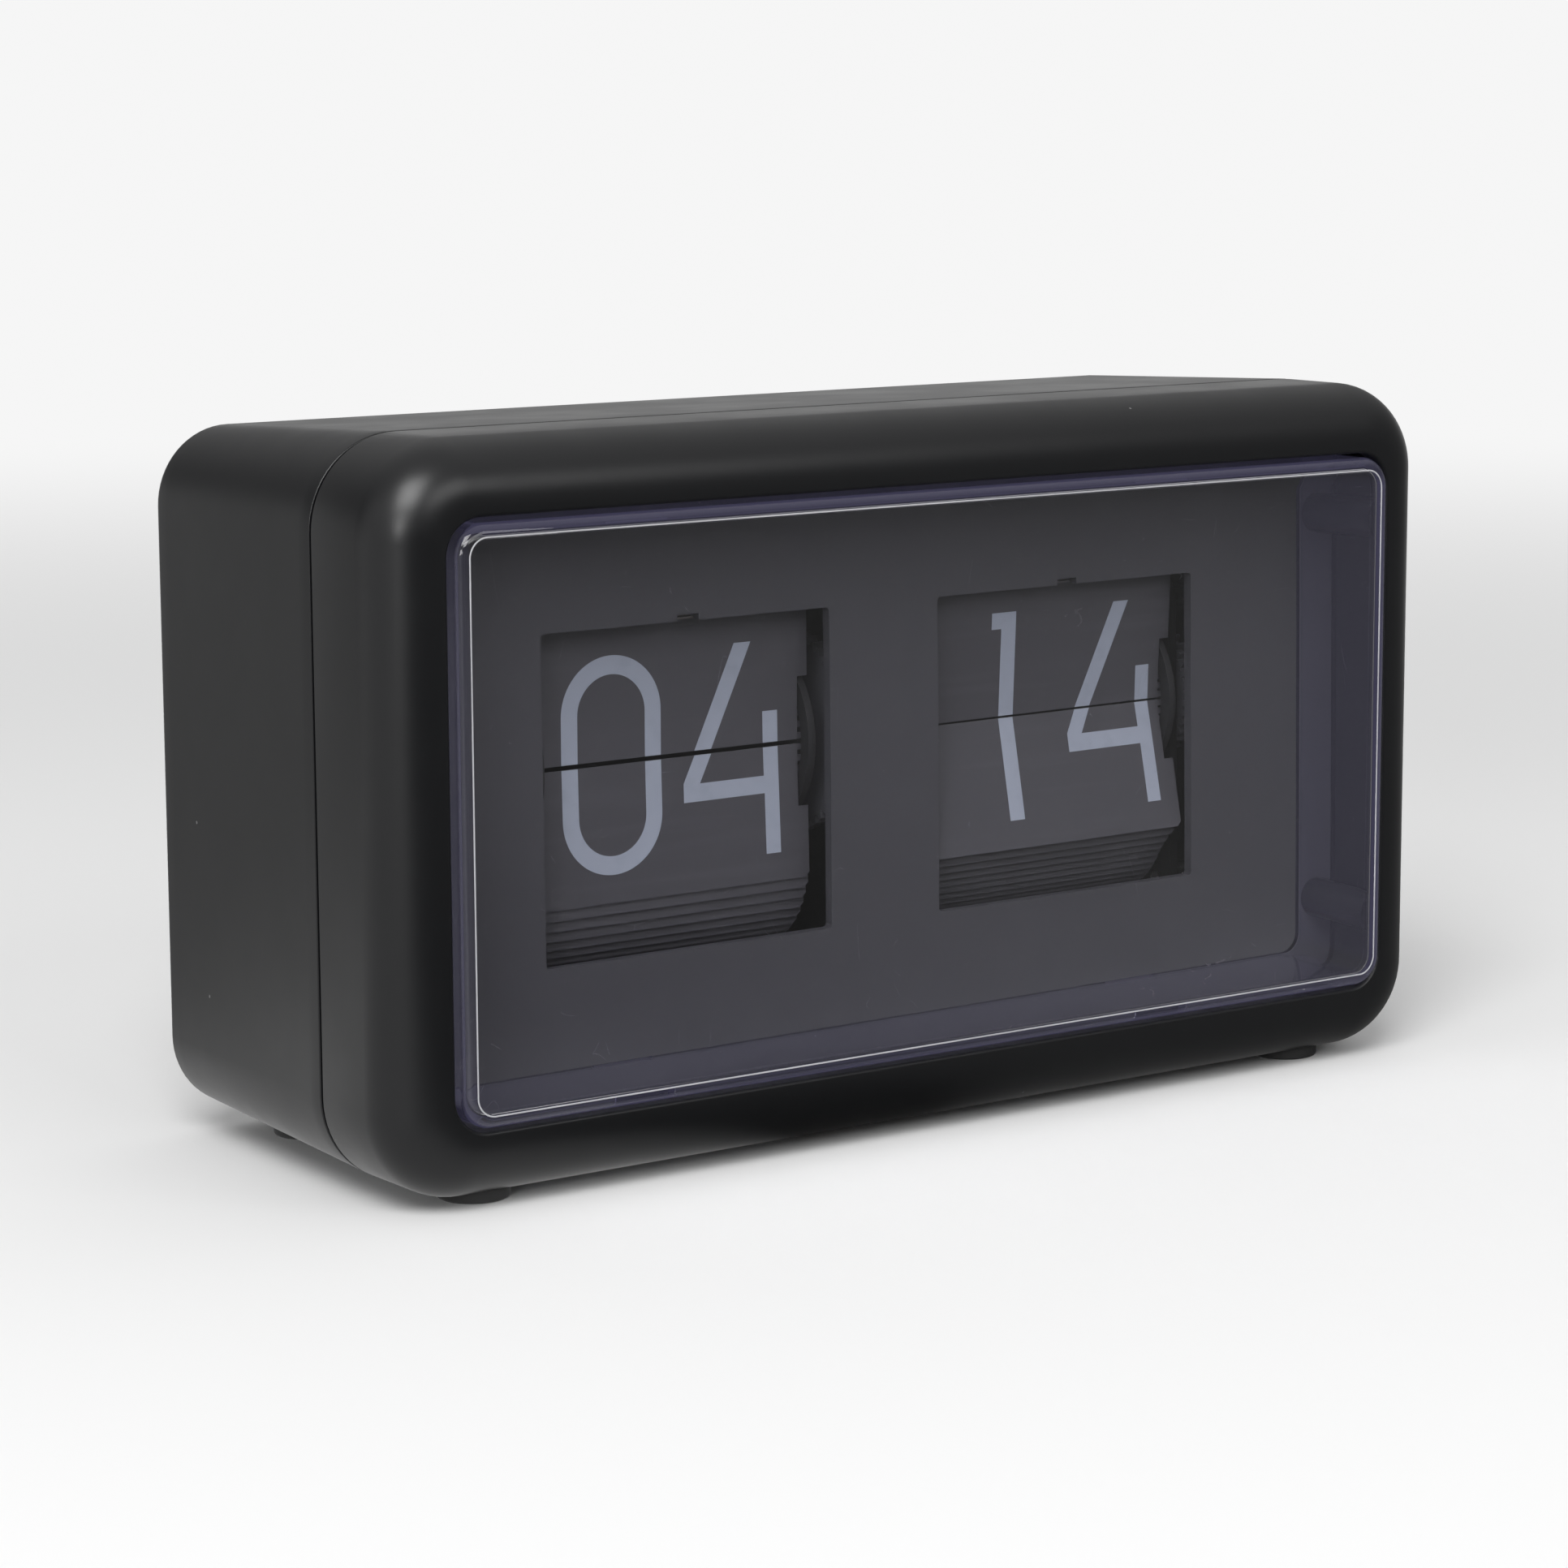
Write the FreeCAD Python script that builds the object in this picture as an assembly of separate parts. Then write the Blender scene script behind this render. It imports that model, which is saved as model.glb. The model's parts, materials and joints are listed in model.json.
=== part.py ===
"""Table flip clock: hour and minute leaf drums in a moulded case with a clear front lens.

Millimetres, +Z up, front faces -Y, origin on the table under the middle of the bounding box.
Angles in the Y-Z plane are measured from the front (-Y) upwards: 0 front, 90 up, 180 back.
"""
import FreeCAD, Part
import math
import os
from FreeCAD import Vector

# ---------------------------------------------------------------- case
CASE_WIDTH = 180.0
CASE_HEIGHT = 100.0
CASE_DEPTH = 66.0
CORNER_RADIUS = 12.8
FRONT_FILLET = 8.2
BACK_FILLET = 1.6
WALL = 2.4
FRONT_SHELL_DEPTH = 19.4
BACK_DRAFT = 1.96           # how far each side of the back shell comes in by the rear wall
SEAM_GAP = 0.5
TONGUE_INSET = 1.3
TONGUE_LENGTH = 2.5
TONGUE_CLEARANCE = 0.1
FOOT_HEIGHT = 1.5
FOOT_RADIUS = 5.0
FOOT_POCKET = 0.6
FOOT_INSET_X = 18.0
FRONT_FOOT_SETBACK = 11.0
REAR_FOOT_SETBACK = 11.0

# ---------------------------------------------------------------- lens and dial panel
LENS_WIDTH = 160.8
LENS_HEIGHT = 79.1
LENS_RADIUS = 4.5
LENS_PROUD = 1.5
LENS_FRONT = 1.8
LENS_WALL = 1.6
LENS_EDGE_FILLET = 1.7
LENS_CLEARANCE = 0.6        # between the lens and the bezel opening
OPENING_EDGE_FILLET = 0.5
TAB_X = 45.5
TAB_WIDTH = 9.5
TAB_THICKNESS = 1.2
TAB_HOOK = 0.7
TAB_HOOK_LENGTH = 1.3
TAB_CLEARANCE = 0.2
PANEL_SETBACK = 16.6
PANEL_THICKNESS = 1.5
PANEL_CLEARANCE = 0.4
WINDOW_SIDE_GAP = 0.5
WINDOW_ABOVE_SPLIT = 19.5
WINDOW_BELOW_SPLIT = 26.7
WINDOW_RADIUS = 0.6
FINGER_NOTCH_WIDTH = 3.6
FINGER_NOTCH_DEPTH = 0.9

# ---------------------------------------------------------------- leaves and drums
LEAF_WIDTH = 47.0
LEAF_LENGTH = 19.0          # from the hinge line to the free edge
LEAF_HEEL = 0.5             # past the hinge line
LEAF_THICKNESS = 0.15
LEAF_CHAMFER = 0.7
LEAF_TAB_LENGTH = 0.9
LEAF_TAB_HALF_WIDTH = 0.45
LEAF_NOTCH_DEPTH = 1.7      # side notch that clears the drum discs
LEAF_NOTCH_CLEARANCE = 0.3
PIVOT_RADIUS = 12.5
LEAF_SETBACK = 5.2          # front leaves behind the front of the dial panel
SPLIT_RISE = 3.1            # split line above the middle of the case
MINUTE_LEAVES = 60
HOUR_LEAVES = 48            # two per hour
MINUTE_UPPER_LEAN = 4.0     # forward lean of the free edge, degrees
MINUTE_LOWER_LEANS = (10.7, 6.0, 3.0, 1.0)
HOUR_UPPER_LEAN = 1.0
HOUR_LOWER_LEANS = (1.0, 0.4)
DISC_RIM = 2.5              # disc past the hinge circle
DISC_THICKNESS = 1.2
DISC_SIDE_GAP = 0.3         # notched leaf edge to disc face
DISC_GROOVE_DEPTH = 0.7
DISC_GROOVE_HALF_WIDTH = 0.65
DISC_PIN_HOLE_RADIUS = 0.35
DISC_WINDOW_COUNT = 6
DISC_WINDOW_RADIUS = 2.4
DISC_WINDOW_CIRCLE = 8.0
CENTRE_BAY = 20.2           # between the leaves of the two drums
HUB_RADIUS = 4.0
SPINDLE_RADIUS = 1.5
RUNNING_FIT = 0.08

# ---------------------------------------------------------------- gears
MODULE = 0.5
PRESSURE_ANGLE = 25.0
ADDENDUM = 0.8
DEDENDUM = 1.1
BACKLASH = 0.10
GEAR_WIDTH = 1.8
MINUTE_CARRY_TEETH = 14
CARRY_WHEEL_TEETH = 56
CARRY_PINION_TEETH = 10
HOUR_GEAR_TEETH = 60
CARRY_DIRECTION = 225.0     # from the drum axis to the carry shaft
CARRY_SHAFT_RADIUS = 1.0
DRIVE_GEAR_TEETH = 48
MOTOR_PINION_TEETH = 12
MOTOR_DIRECTION = 270.0
SETTING_GEAR_TEETH = 16
IDLER_REACH = 1.22          # gear chain length over the straight distance to the setting shaft
CENTRE_GEAR_OFFSET = 3.6    # near face of the centre bay gears from the middle

# ---------------------------------------------------------------- movement frame
PLATE_THICKNESS = 1.5
PLATE_GAP = 1.2             # leaf edge to plate
PLATE_FRONT = 12.0          # plate edges from the drum axis
PLATE_BACK = 22.0
PLATE_TOP = 20.0
BASE_PLATE_GAP = 1.1        # below the lowest leaf edges
BASE_FRONT = 12.0
BASE_CRADLE_GAP = 0.6
BASE_END_MARGIN = 1.5
POST_RADIUS = 3.0
POST_X = 48.0
POST_FRONT = 5.0
POST_CRADLE_GAP = 0.65
GEAR_BAY = 5.4              # right plate to outer plate
PILLAR_RADIUS = 1.8
MOTOR_RADIUS = 12.0
MOTOR_LENGTH = 13.0
MOTOR_EAR_REACH = 15.5
MOTOR_SHAFT_RADIUS = 0.8
SMALL_SHAFT_RADIUS = 1.0

# ---------------------------------------------------------------- setting wheel
WHEEL_RADIUS = 9.0
WHEEL_WIDTH = 5.0
WHEEL_PROUD = 1.5
WHEEL_PLATE_GAP = 1.6
WHEEL_RIDGES = 36
WHEEL_RIDGE_DEPTH = 0.45
SLOT_CLEARANCE = 0.8

# ---------------------------------------------------------------- battery and board
CELL_RADIUS = 7.25
CELL_LENGTH = 49.0
CELL_BUTTON_RADIUS = 2.75
CELL_BUTTON_LENGTH = 1.4
CELL_X = -29.0
CELL_WALL_GAP = 2.4         # cell to the inside of the rear wall
CELL_FLOOR_GAP = 2.6
CRADLE_WALL = 1.4
CRADLE_CLEARANCE = 0.35
SPRING_LENGTH = 5.0
SPRING_WIRE = 0.8
SPRING_RADIUS = 3.4
DOOR_WIDTH = 60.0
DOOR_HEIGHT = 19.0
DOOR_THICKNESS = 1.4
DOOR_CLEARANCE = 0.25
DOOR_LEDGE = 1.4
BOARD_X = 24.0
BOARD_WIDTH = 38.0
BOARD_DEPTH = 20.0
BOARD_THICKNESS = 1.6
BOARD_RISE = 5.0

# ---------------------------------------------------------------- screws
SCREW_RADIUS = 1.3
SCREW_CLEARANCE = 0.25
SCREW_HEAD_RADIUS = 2.5
SCREW_HEAD_HEIGHT = 1.9
CASE_SCREW_LENGTH = 20.0
CASE_SCREW_SIDE = 6.2       # screw axis in from the side of the case
CASE_SCREW_Z = 30.0
CASE_SCREW_DEPTH = 5.4      # into the bezel boss
BOSS_RADIUS = 3.0
CASE_POST_RADIUS = 3.6
SMALL_SCREW_RADIUS = 0.9
SMALL_HEAD_RADIUS = 1.9
SMALL_HEAD_HEIGHT = 0.9
SMALL_SCREW_LENGTH = 6.0

# ---------------------------------------------------------------- worked-out places
FRONT_Y = -(CASE_DEPTH + LENS_PROUD + WHEEL_PROUD) / 2 + LENS_PROUD
BACK_Y = FRONT_Y + CASE_DEPTH
MIDDLE_Z = FOOT_HEIGHT + CASE_HEIGHT / 2
SEAM_FRONT = FRONT_Y + FRONT_SHELL_DEPTH - SEAM_GAP / 2
SEAM_BACK = SEAM_FRONT + SEAM_GAP
INNER_BACK = BACK_Y - WALL
PANEL_Y = FRONT_Y + PANEL_SETBACK
PANEL_BACK = PANEL_Y + PANEL_THICKNESS
AXIS_Y = PANEL_Y + LEAF_SETBACK + PIVOT_RADIUS
AXIS_Z = MIDDLE_Z + SPLIT_RISE
DISC_RADIUS = PIVOT_RADIUS + DISC_RIM
HALF_DRUM = LEAF_WIDTH / 2
LEAF_NOTCH_LENGTH = math.sqrt(DISC_RADIUS ** 2 - PIVOT_RADIUS ** 2) + LEAF_NOTCH_CLEARANCE
DRUM_X = CENTRE_BAY / 2 + HALF_DRUM
DRUM_END = DRUM_X + HALF_DRUM
PLATE_X = DRUM_END + PLATE_GAP
OUTER_PLATE_X = PLATE_X + PLATE_THICKNESS + GEAR_BAY
OUTER_PLATE_END = OUTER_PLATE_X + PLATE_THICKNESS
GEAR_X = PLATE_X + PLATE_THICKNESS + (GEAR_BAY - GEAR_WIDTH) / 2
BASE_TOP = AXIS_Z - PIVOT_RADIUS - LEAF_LENGTH - BASE_PLATE_GAP
BASE_BOTTOM = BASE_TOP - PLATE_THICKNESS
SCREW_X = CASE_WIDTH / 2 - CASE_SCREW_SIDE
CELL_Y = INNER_BACK - CELL_WALL_GAP - CELL_RADIUS
CRADLE_FRONT = CELL_Y - CELL_RADIUS - CRADLE_CLEARANCE - CRADLE_WALL
BASE_REAR = CRADLE_FRONT - BASE_CRADLE_GAP
CELL_Z = FOOT_HEIGHT + BACK_DRAFT + WALL + CELL_FLOOR_GAP + CELL_RADIUS
CELL_LEFT = CELL_X - CELL_LENGTH / 2
CELL_RIGHT = CELL_X + CELL_LENGTH / 2
WHEEL_Y = BACK_Y + WHEEL_PROUD - WHEEL_RADIUS
WHEEL_Z = AXIS_Z
WHEEL_X = OUTER_PLATE_END + WHEEL_PLATE_GAP
BOARD_Z = FOOT_HEIGHT + BACK_DRAFT + WALL + BOARD_RISE


# ================================================================ shape helpers
def block(x0, x1, y0, y1, z0, z1):
    """A box between two corners."""
    return Part.makeBox(x1 - x0, y1 - y0, z1 - z0, Vector(x0, y0, z0))


def rod_x(radius, x0, x1, y, z):
    """A cylinder along X."""
    return Part.makeCylinder(radius, x1 - x0, Vector(x0, y, z), Vector(1, 0, 0))


def rod_y(radius, y0, y1, x, z):
    """A cylinder along Y."""
    return Part.makeCylinder(radius, y1 - y0, Vector(x, y0, z), Vector(0, 1, 0))


def rod_z(radius, z0, z1, x, y):
    """A cylinder along Z."""
    return Part.makeCylinder(radius, z1 - z0, Vector(x, y, z0), Vector(0, 0, 1))


def fuse(shapes):
    """One solid from touching or overlapping shapes."""
    joined = shapes[0].multiFuse(shapes[1:]) if len(shapes) > 1 else shapes[0]
    return joined.removeSplitter()


def cut(shape, tools):
    """A shape with several others taken away."""
    return shape.cut(Part.makeCompound(tools)) if tools else shape


def rounded_wire(width, height, radius, y, x=0.0, z=MIDDLE_Z):
    """A rounded rectangle in a plane of constant Y."""
    half_w = width / 2
    half_h = height / 2
    edges = []
    corners = [(1, 1, 0), (-1, 1, 90), (-1, -1, 180), (1, -1, 270)]
    arcs = []
    for side_x, side_z, start in corners:
        centre_x = x + side_x * (half_w - radius)
        centre_z = z + side_z * (half_h - radius)
        points = [Vector(centre_x + radius * math.cos(math.radians(start + turn)), y,
                         centre_z + radius * math.sin(math.radians(start + turn)))
                  for turn in (0, 45, 90)]
        arcs.append(points)
    for index, points in enumerate(arcs):
        edges.append(Part.Arc(*points).toShape())
        edges.append(Part.makeLine(points[2], arcs[(index + 1) % 4][0]))
    return Part.Wire(edges)


def prism(width, height, radius, y0, y1, x=0.0, z=MIDDLE_Z):
    """A rounded rectangle drawn out along Y."""
    return Part.Face(rounded_wire(width, height, radius, y0, x, z)).extrude(Vector(0, y1 - y0, 0))


def case_prism(inset, y0, y1):
    """The case outline, brought in by an inset, drawn out along Y."""
    return prism(CASE_WIDTH - 2 * inset, CASE_HEIGHT - 2 * inset, CORNER_RADIUS - inset, y0, y1)


def edges_at_y(shape, y):
    """The edges that lie in the plane of constant Y."""
    return [edge for edge in shape.Edges if all(abs(v.Y - y) < 1e-4 for v in edge.Vertexes)
            and abs(edge.BoundBox.YLength) < 1e-4]


def fillet_at_y(shape, y, radius):
    """Round the edges that lie in one plane of constant Y."""
    return shape.makeFillet(radius, edges_at_y(shape, y))


def toward(angle):
    """Unit vector in the Y-Z plane: 0 front, 90 up, 180 back."""
    return Vector(0, -math.cos(math.radians(angle)), math.sin(math.radians(angle)))


def around_axis(angle, radius, x=0.0):
    """A point at a radius from the drum axis."""
    return Vector(x, AXIS_Y, AXIS_Z) + toward(angle) * radius


def mirrored(places):
    """Every place with both signs of each coordinate."""
    across, up = places
    return [(side_x * across, side_z * up) for side_x in (-1, 1) for side_z in (-1, 1)]


# ================================================================ gears
def involute(angle):
    """Involute function of a pressure angle in radians."""
    return math.tan(angle) - angle


def gear_outline(teeth):
    """Points of a spur gear as (radius, degrees), tooth 0 centred on 0 degrees."""
    pitch_r = MODULE * teeth / 2
    pressure = math.radians(PRESSURE_ANGLE)
    base_r = pitch_r * math.cos(pressure)
    tip_r = pitch_r + ADDENDUM * MODULE
    root_r = pitch_r - DEDENDUM * MODULE
    half_pitch_tooth = (math.pi * MODULE / 2 - BACKLASH) / 2 / pitch_r

    def half_angle(radius):
        """Half of the tooth's angle at a radius."""
        inside = max(radius, base_r)
        return half_pitch_tooth + involute(pressure) - involute(math.acos(base_r / inside))

    middle_r = (max(root_r, base_r) + tip_r) / 2
    flank = [(radius, math.degrees(half_angle(radius))) for radius in (root_r, middle_r, tip_r)]
    outline = []
    for tooth in range(teeth):
        centre = 360.0 * tooth / teeth
        outline += [(radius, centre - half) for radius, half in flank]
        outline += [(radius, centre + half) for radius, half in reversed(flank)]
    return outline


def gear(teeth, phase, x0, width, y, z, bore):
    """A spur gear on an axis along X, with tooth 0 pointing at the phase angle."""
    points = [Vector(x0, y, z) + toward(phase + angle) * radius
              for radius, angle in gear_outline(teeth)]
    body = Part.Face(Part.makePolygon(points + points[:1])).extrude(Vector(width, 0, 0))
    return body.cut(rod_x(bore, x0 - 1, x0 + width + 1, y, z))


def mate_phase(phase, teeth, direction, mate_teeth):
    """Phase of a gear that meshes with another one lying in the given direction from it."""
    tooth_offset = (direction - phase) / (360.0 / teeth)
    fraction = tooth_offset - math.floor(tooth_offset)
    mate_pitch = 360.0 / mate_teeth
    return direction + 180.0 + (fraction + 0.5) * mate_pitch


def centre_distance(teeth_a, teeth_b):
    """Distance between the axes of two meshing gears."""
    return MODULE * (teeth_a + teeth_b) / 2


CARRY_AT = around_axis(CARRY_DIRECTION, centre_distance(MINUTE_CARRY_TEETH, CARRY_WHEEL_TEETH))
MOTOR_AT = around_axis(MOTOR_DIRECTION, centre_distance(DRIVE_GEAR_TEETH, MOTOR_PINION_TEETH))
SETTING_DISTANCE = WHEEL_Y - AXIS_Y
IDLER_TEETH = math.ceil(SETTING_DISTANCE * IDLER_REACH / MODULE
                        - (DRIVE_GEAR_TEETH + SETTING_GEAR_TEETH) / 2)
DRUM_TO_IDLER = centre_distance(DRIVE_GEAR_TEETH, IDLER_TEETH)
IDLER_TO_SETTING = centre_distance(IDLER_TEETH, SETTING_GEAR_TEETH)
IDLER_ALONG = (DRUM_TO_IDLER ** 2 - IDLER_TO_SETTING ** 2 + SETTING_DISTANCE ** 2) \
    / (2 * SETTING_DISTANCE)
IDLER_DIRECTION = 180.0 - math.degrees(math.acos(IDLER_ALONG / DRUM_TO_IDLER))
IDLER_AT = around_axis(IDLER_DIRECTION, DRUM_TO_IDLER)
IDLER_TO_SETTING_DIRECTION = math.degrees(math.atan2(WHEEL_Z - IDLER_AT.z, IDLER_AT.y - WHEEL_Y))


# ================================================================ case
def case_screw_places():
    """X and Z of the four case screws."""
    return [(x, MIDDLE_Z + z) for x, z in mirrored((SCREW_X, CASE_SCREW_Z))]


def front_bezel():
    """Front half of the case, with the lens opening and screw bosses."""
    outer = fillet_at_y(case_prism(0, FRONT_Y, SEAM_FRONT), FRONT_Y, FRONT_FILLET)
    inner = fillet_at_y(case_prism(WALL, FRONT_Y + WALL, SEAM_FRONT + 1),
                        FRONT_Y + WALL, FRONT_FILLET - WALL)
    opening = prism(LENS_WIDTH + 2 * LENS_CLEARANCE, LENS_HEIGHT + 2 * LENS_CLEARANCE,
                    LENS_RADIUS + LENS_CLEARANCE, FRONT_Y - 1, FRONT_Y + FRONT_FILLET)
    rebate = case_prism(TONGUE_INSET - TONGUE_CLEARANCE,
                        SEAM_FRONT - TONGUE_LENGTH - SEAM_GAP, SEAM_FRONT + 1)
    shell = cut(outer, [inner, opening, rebate])
    lip = [edge for edge in edges_at_y(shell, FRONT_Y)
           if edge.BoundBox.XMax < LENS_WIDTH / 2 + 2 * LENS_CLEARANCE
           and edge.BoundBox.XMin > -LENS_WIDTH / 2 - 2 * LENS_CLEARANCE]
    shell = shell.makeFillet(OPENING_EDGE_FILLET, lip)
    bosses = []
    for x, z in case_screw_places():
        start = FRONT_Y + WALL
        boss = rod_y(BOSS_RADIUS, start, PANEL_Y, x, z)
        wall_x = math.copysign(CASE_WIDTH / 2, x)
        rib = block(min(x, wall_x), max(x, wall_x), start, PANEL_Y,
                    z - BOSS_RADIUS / 2, z + BOSS_RADIUS / 2)
        boss = fuse([boss, rib]).common(outer)
        bosses.append(boss)
    body = fuse([shell] + bosses)
    pilots = [rod_y(SCREW_RADIUS, PANEL_Y - CASE_SCREW_DEPTH, PANEL_Y + 1, x, z)
              for x, z in case_screw_places()]
    pockets = [rod_z(FOOT_RADIUS, -1, FOOT_HEIGHT + FOOT_POCKET, x, y) for x, y in front_foot_places()]
    return cut(body, pilots + pockets)


def back_outer(inset, y0, y1):
    """The tapering outside of the back shell, brought in by an inset."""
    wires = []
    for y in (y0, y1):
        share = (y - SEAM_BACK) / (BACK_Y - SEAM_BACK)
        total = inset + BACK_DRAFT * share
        wires.append(rounded_wire(CASE_WIDTH - 2 * total, CASE_HEIGHT - 2 * total,
                                  CORNER_RADIUS - total, y))
    return Part.makeLoft(wires, True, True)


def base_post_places():
    """X and Y of the posts that carry the movement."""
    rear = CRADLE_FRONT - POST_CRADLE_GAP - POST_RADIUS
    return [(side * POST_X, y) for side in (-1, 1) for y in (AXIS_Y - POST_FRONT, rear)]


def wheel_slot():
    """Slot in the rear wall that the setting wheel shows through."""
    half = math.sqrt(WHEEL_RADIUS ** 2 - (INNER_BACK - WHEEL_Y) ** 2) + SLOT_CLEARANCE
    return block(WHEEL_X - SLOT_CLEARANCE, WHEEL_X + WHEEL_WIDTH + SLOT_CLEARANCE,
                 INNER_BACK - 1, BACK_Y + 1, WHEEL_Z - half, WHEEL_Z + half)


def back_shell():
    """Back half of the case, with posts, battery opening and wheel slot."""
    outer = fillet_at_y(back_outer(0, SEAM_BACK, BACK_Y), BACK_Y, BACK_FILLET)
    inner = back_outer(WALL, SEAM_BACK, INNER_BACK)
    tongue = case_prism(TONGUE_INSET, SEAM_FRONT - TONGUE_LENGTH, SEAM_BACK + 1)
    tongue = tongue.cut(case_prism(WALL, SEAM_FRONT - TONGUE_LENGTH - 1, SEAM_BACK + 2))
    pieces = [cut(outer, [inner]), tongue]
    floor = FOOT_HEIGHT + WALL / 2
    for x, z in case_screw_places():
        post = rod_y(CASE_POST_RADIUS, PANEL_BACK, INNER_BACK + WALL / 2, x, z)
        wall_x = math.copysign(CASE_WIDTH / 2, x)
        rib = block(min(x, wall_x), max(x, wall_x), SEAM_BACK, INNER_BACK + WALL / 2,
                    z - WALL / 2, z + WALL / 2).common(outer)
        pieces.append(fuse([post, rib]))
    for x, y in base_post_places():
        pieces.append(rod_z(POST_RADIUS, floor, BASE_BOTTOM, x, y).common(
            block(-CASE_WIDTH, CASE_WIDTH, SEAM_BACK, BACK_Y, 0, CASE_HEIGHT)))
    for x, y in board_peg_places():
        pieces.append(rod_z(POST_RADIUS / 2, floor + BACK_DRAFT / 2, BOARD_Z, x, y))
    body = fuse(pieces)
    head_seat = PANEL_Y - CASE_SCREW_DEPTH + CASE_SCREW_LENGTH
    tools = []
    for x, z in case_screw_places():
        tools.append(rod_y(SCREW_RADIUS + SCREW_CLEARANCE, PANEL_BACK - 1, head_seat, x, z))
        tools.append(rod_y(SCREW_HEAD_RADIUS + SCREW_CLEARANCE, head_seat, BACK_Y + 1, x, z))
    for x, y in base_post_places():
        tools.append(rod_z(SMALL_SCREW_RADIUS, BASE_TOP - SMALL_SCREW_LENGTH, BASE_BOTTOM + 1, x, y))
    tools.append(prism(DOOR_WIDTH, DOOR_HEIGHT, DOOR_LEDGE, BACK_Y - DOOR_THICKNESS, BACK_Y + 1,
                       CELL_X, CELL_Z))
    tools.append(prism(DOOR_WIDTH - 2 * DOOR_LEDGE, DOOR_HEIGHT - 2 * DOOR_LEDGE, DOOR_LEDGE / 2,
                       INNER_BACK - 1, BACK_Y + 1, CELL_X, CELL_Z))
    tools.append(wheel_slot())
    for x, y in rear_foot_places():
        tools.append(rod_z(FOOT_RADIUS, -1, rear_foot_top(y), x, y))
    return cut(body, tools)


def front_foot_places():
    """X and Y of the feet under the bezel."""
    return [(side * (CASE_WIDTH / 2 - FOOT_INSET_X), FRONT_Y + FRONT_FOOT_SETBACK) for side in (-1, 1)]


def rear_foot_places():
    """X and Y of the feet under the back shell."""
    return [(side * (CASE_WIDTH / 2 - FOOT_INSET_X), BACK_Y - REAR_FOOT_SETBACK) for side in (-1, 1)]


def rear_foot_top(y):
    """Top of a rear foot, sunk into the sloping underside."""
    rise = BACK_DRAFT * (y + FOOT_RADIUS - SEAM_BACK) / (BACK_Y - SEAM_BACK)
    return FOOT_HEIGHT + rise + FOOT_POCKET


def foot(x, y, top):
    """A round rubber foot with a softened tread edge."""
    pad = rod_z(FOOT_RADIUS, 0, top, x, y)
    tread = [edge for edge in pad.Edges if abs(edge.BoundBox.ZMax) < 1e-6]
    return pad.makeChamfer(0.4, tread)


def front_feet():
    """Two feet under the bezel."""
    return Part.makeCompound([foot(x, y, FOOT_HEIGHT + FOOT_POCKET) for x, y in front_foot_places()])


def rear_feet():
    """Two taller feet under the back shell."""
    return Part.makeCompound([foot(x, y, rear_foot_top(y)) for x, y in rear_foot_places()])


def case_screws():
    """Four long screws that clamp the shells and the dial panel together."""
    screws = []
    head_seat = PANEL_Y - CASE_SCREW_DEPTH + CASE_SCREW_LENGTH
    for x, z in case_screw_places():
        shank = rod_y(SCREW_RADIUS, PANEL_Y - CASE_SCREW_DEPTH, head_seat, x, z)
        head = rod_y(SCREW_HEAD_RADIUS, head_seat, head_seat + SCREW_HEAD_HEIGHT, x, z)
        cross = [block(x - 0.35, x + 0.35, head_seat + 0.9, head_seat + 3, z - 1.5, z + 1.5),
                 block(x - 1.5, x + 1.5, head_seat + 0.9, head_seat + 3, z - 0.35, z + 0.35)]
        screws.append(cut(fuse([shank, head]), cross))
    return Part.makeCompound(screws)


# ================================================================ lens and dial panel
def tab_block(side_x, side_z, x_room, y0, y1, z_in, z_out):
    """A box at one lens tab, measured from the outside of the lens wall."""
    edge = LENS_HEIGHT / 2
    low, high = sorted((MIDDLE_Z + side_z * (edge - z_in), MIDDLE_Z + side_z * (edge + z_out)))
    middle = side_x * TAB_X
    half = TAB_WIDTH / 2 + x_room
    return block(middle - half, middle + half, y0, y1, low, high)


def lens():
    """Clear tray: front window, side walls back to the dial panel and four snap tabs."""
    outer = prism(LENS_WIDTH, LENS_HEIGHT, LENS_RADIUS, FRONT_Y - LENS_PROUD, PANEL_Y)
    outer = fillet_at_y(outer, FRONT_Y - LENS_PROUD, LENS_EDGE_FILLET)
    inner = prism(LENS_WIDTH - 2 * LENS_WALL, LENS_HEIGHT - 2 * LENS_WALL, LENS_RADIUS - LENS_WALL,
                  FRONT_Y - LENS_PROUD + LENS_FRONT, PANEL_Y + 1)
    pieces = [outer.cut(inner)]
    for side_x, side_z in mirrored((1, 1)):
        hook_y = PANEL_BACK + TAB_CLEARANCE / 2
        pieces.append(tab_block(side_x, side_z, 0, PANEL_Y - 1, hook_y + TAB_HOOK_LENGTH,
                                TAB_THICKNESS, 0))
        pieces.append(tab_block(side_x, side_z, 0, hook_y, hook_y + TAB_HOOK_LENGTH,
                                TAB_THICKNESS, TAB_HOOK))
    return fuse(pieces)


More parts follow.
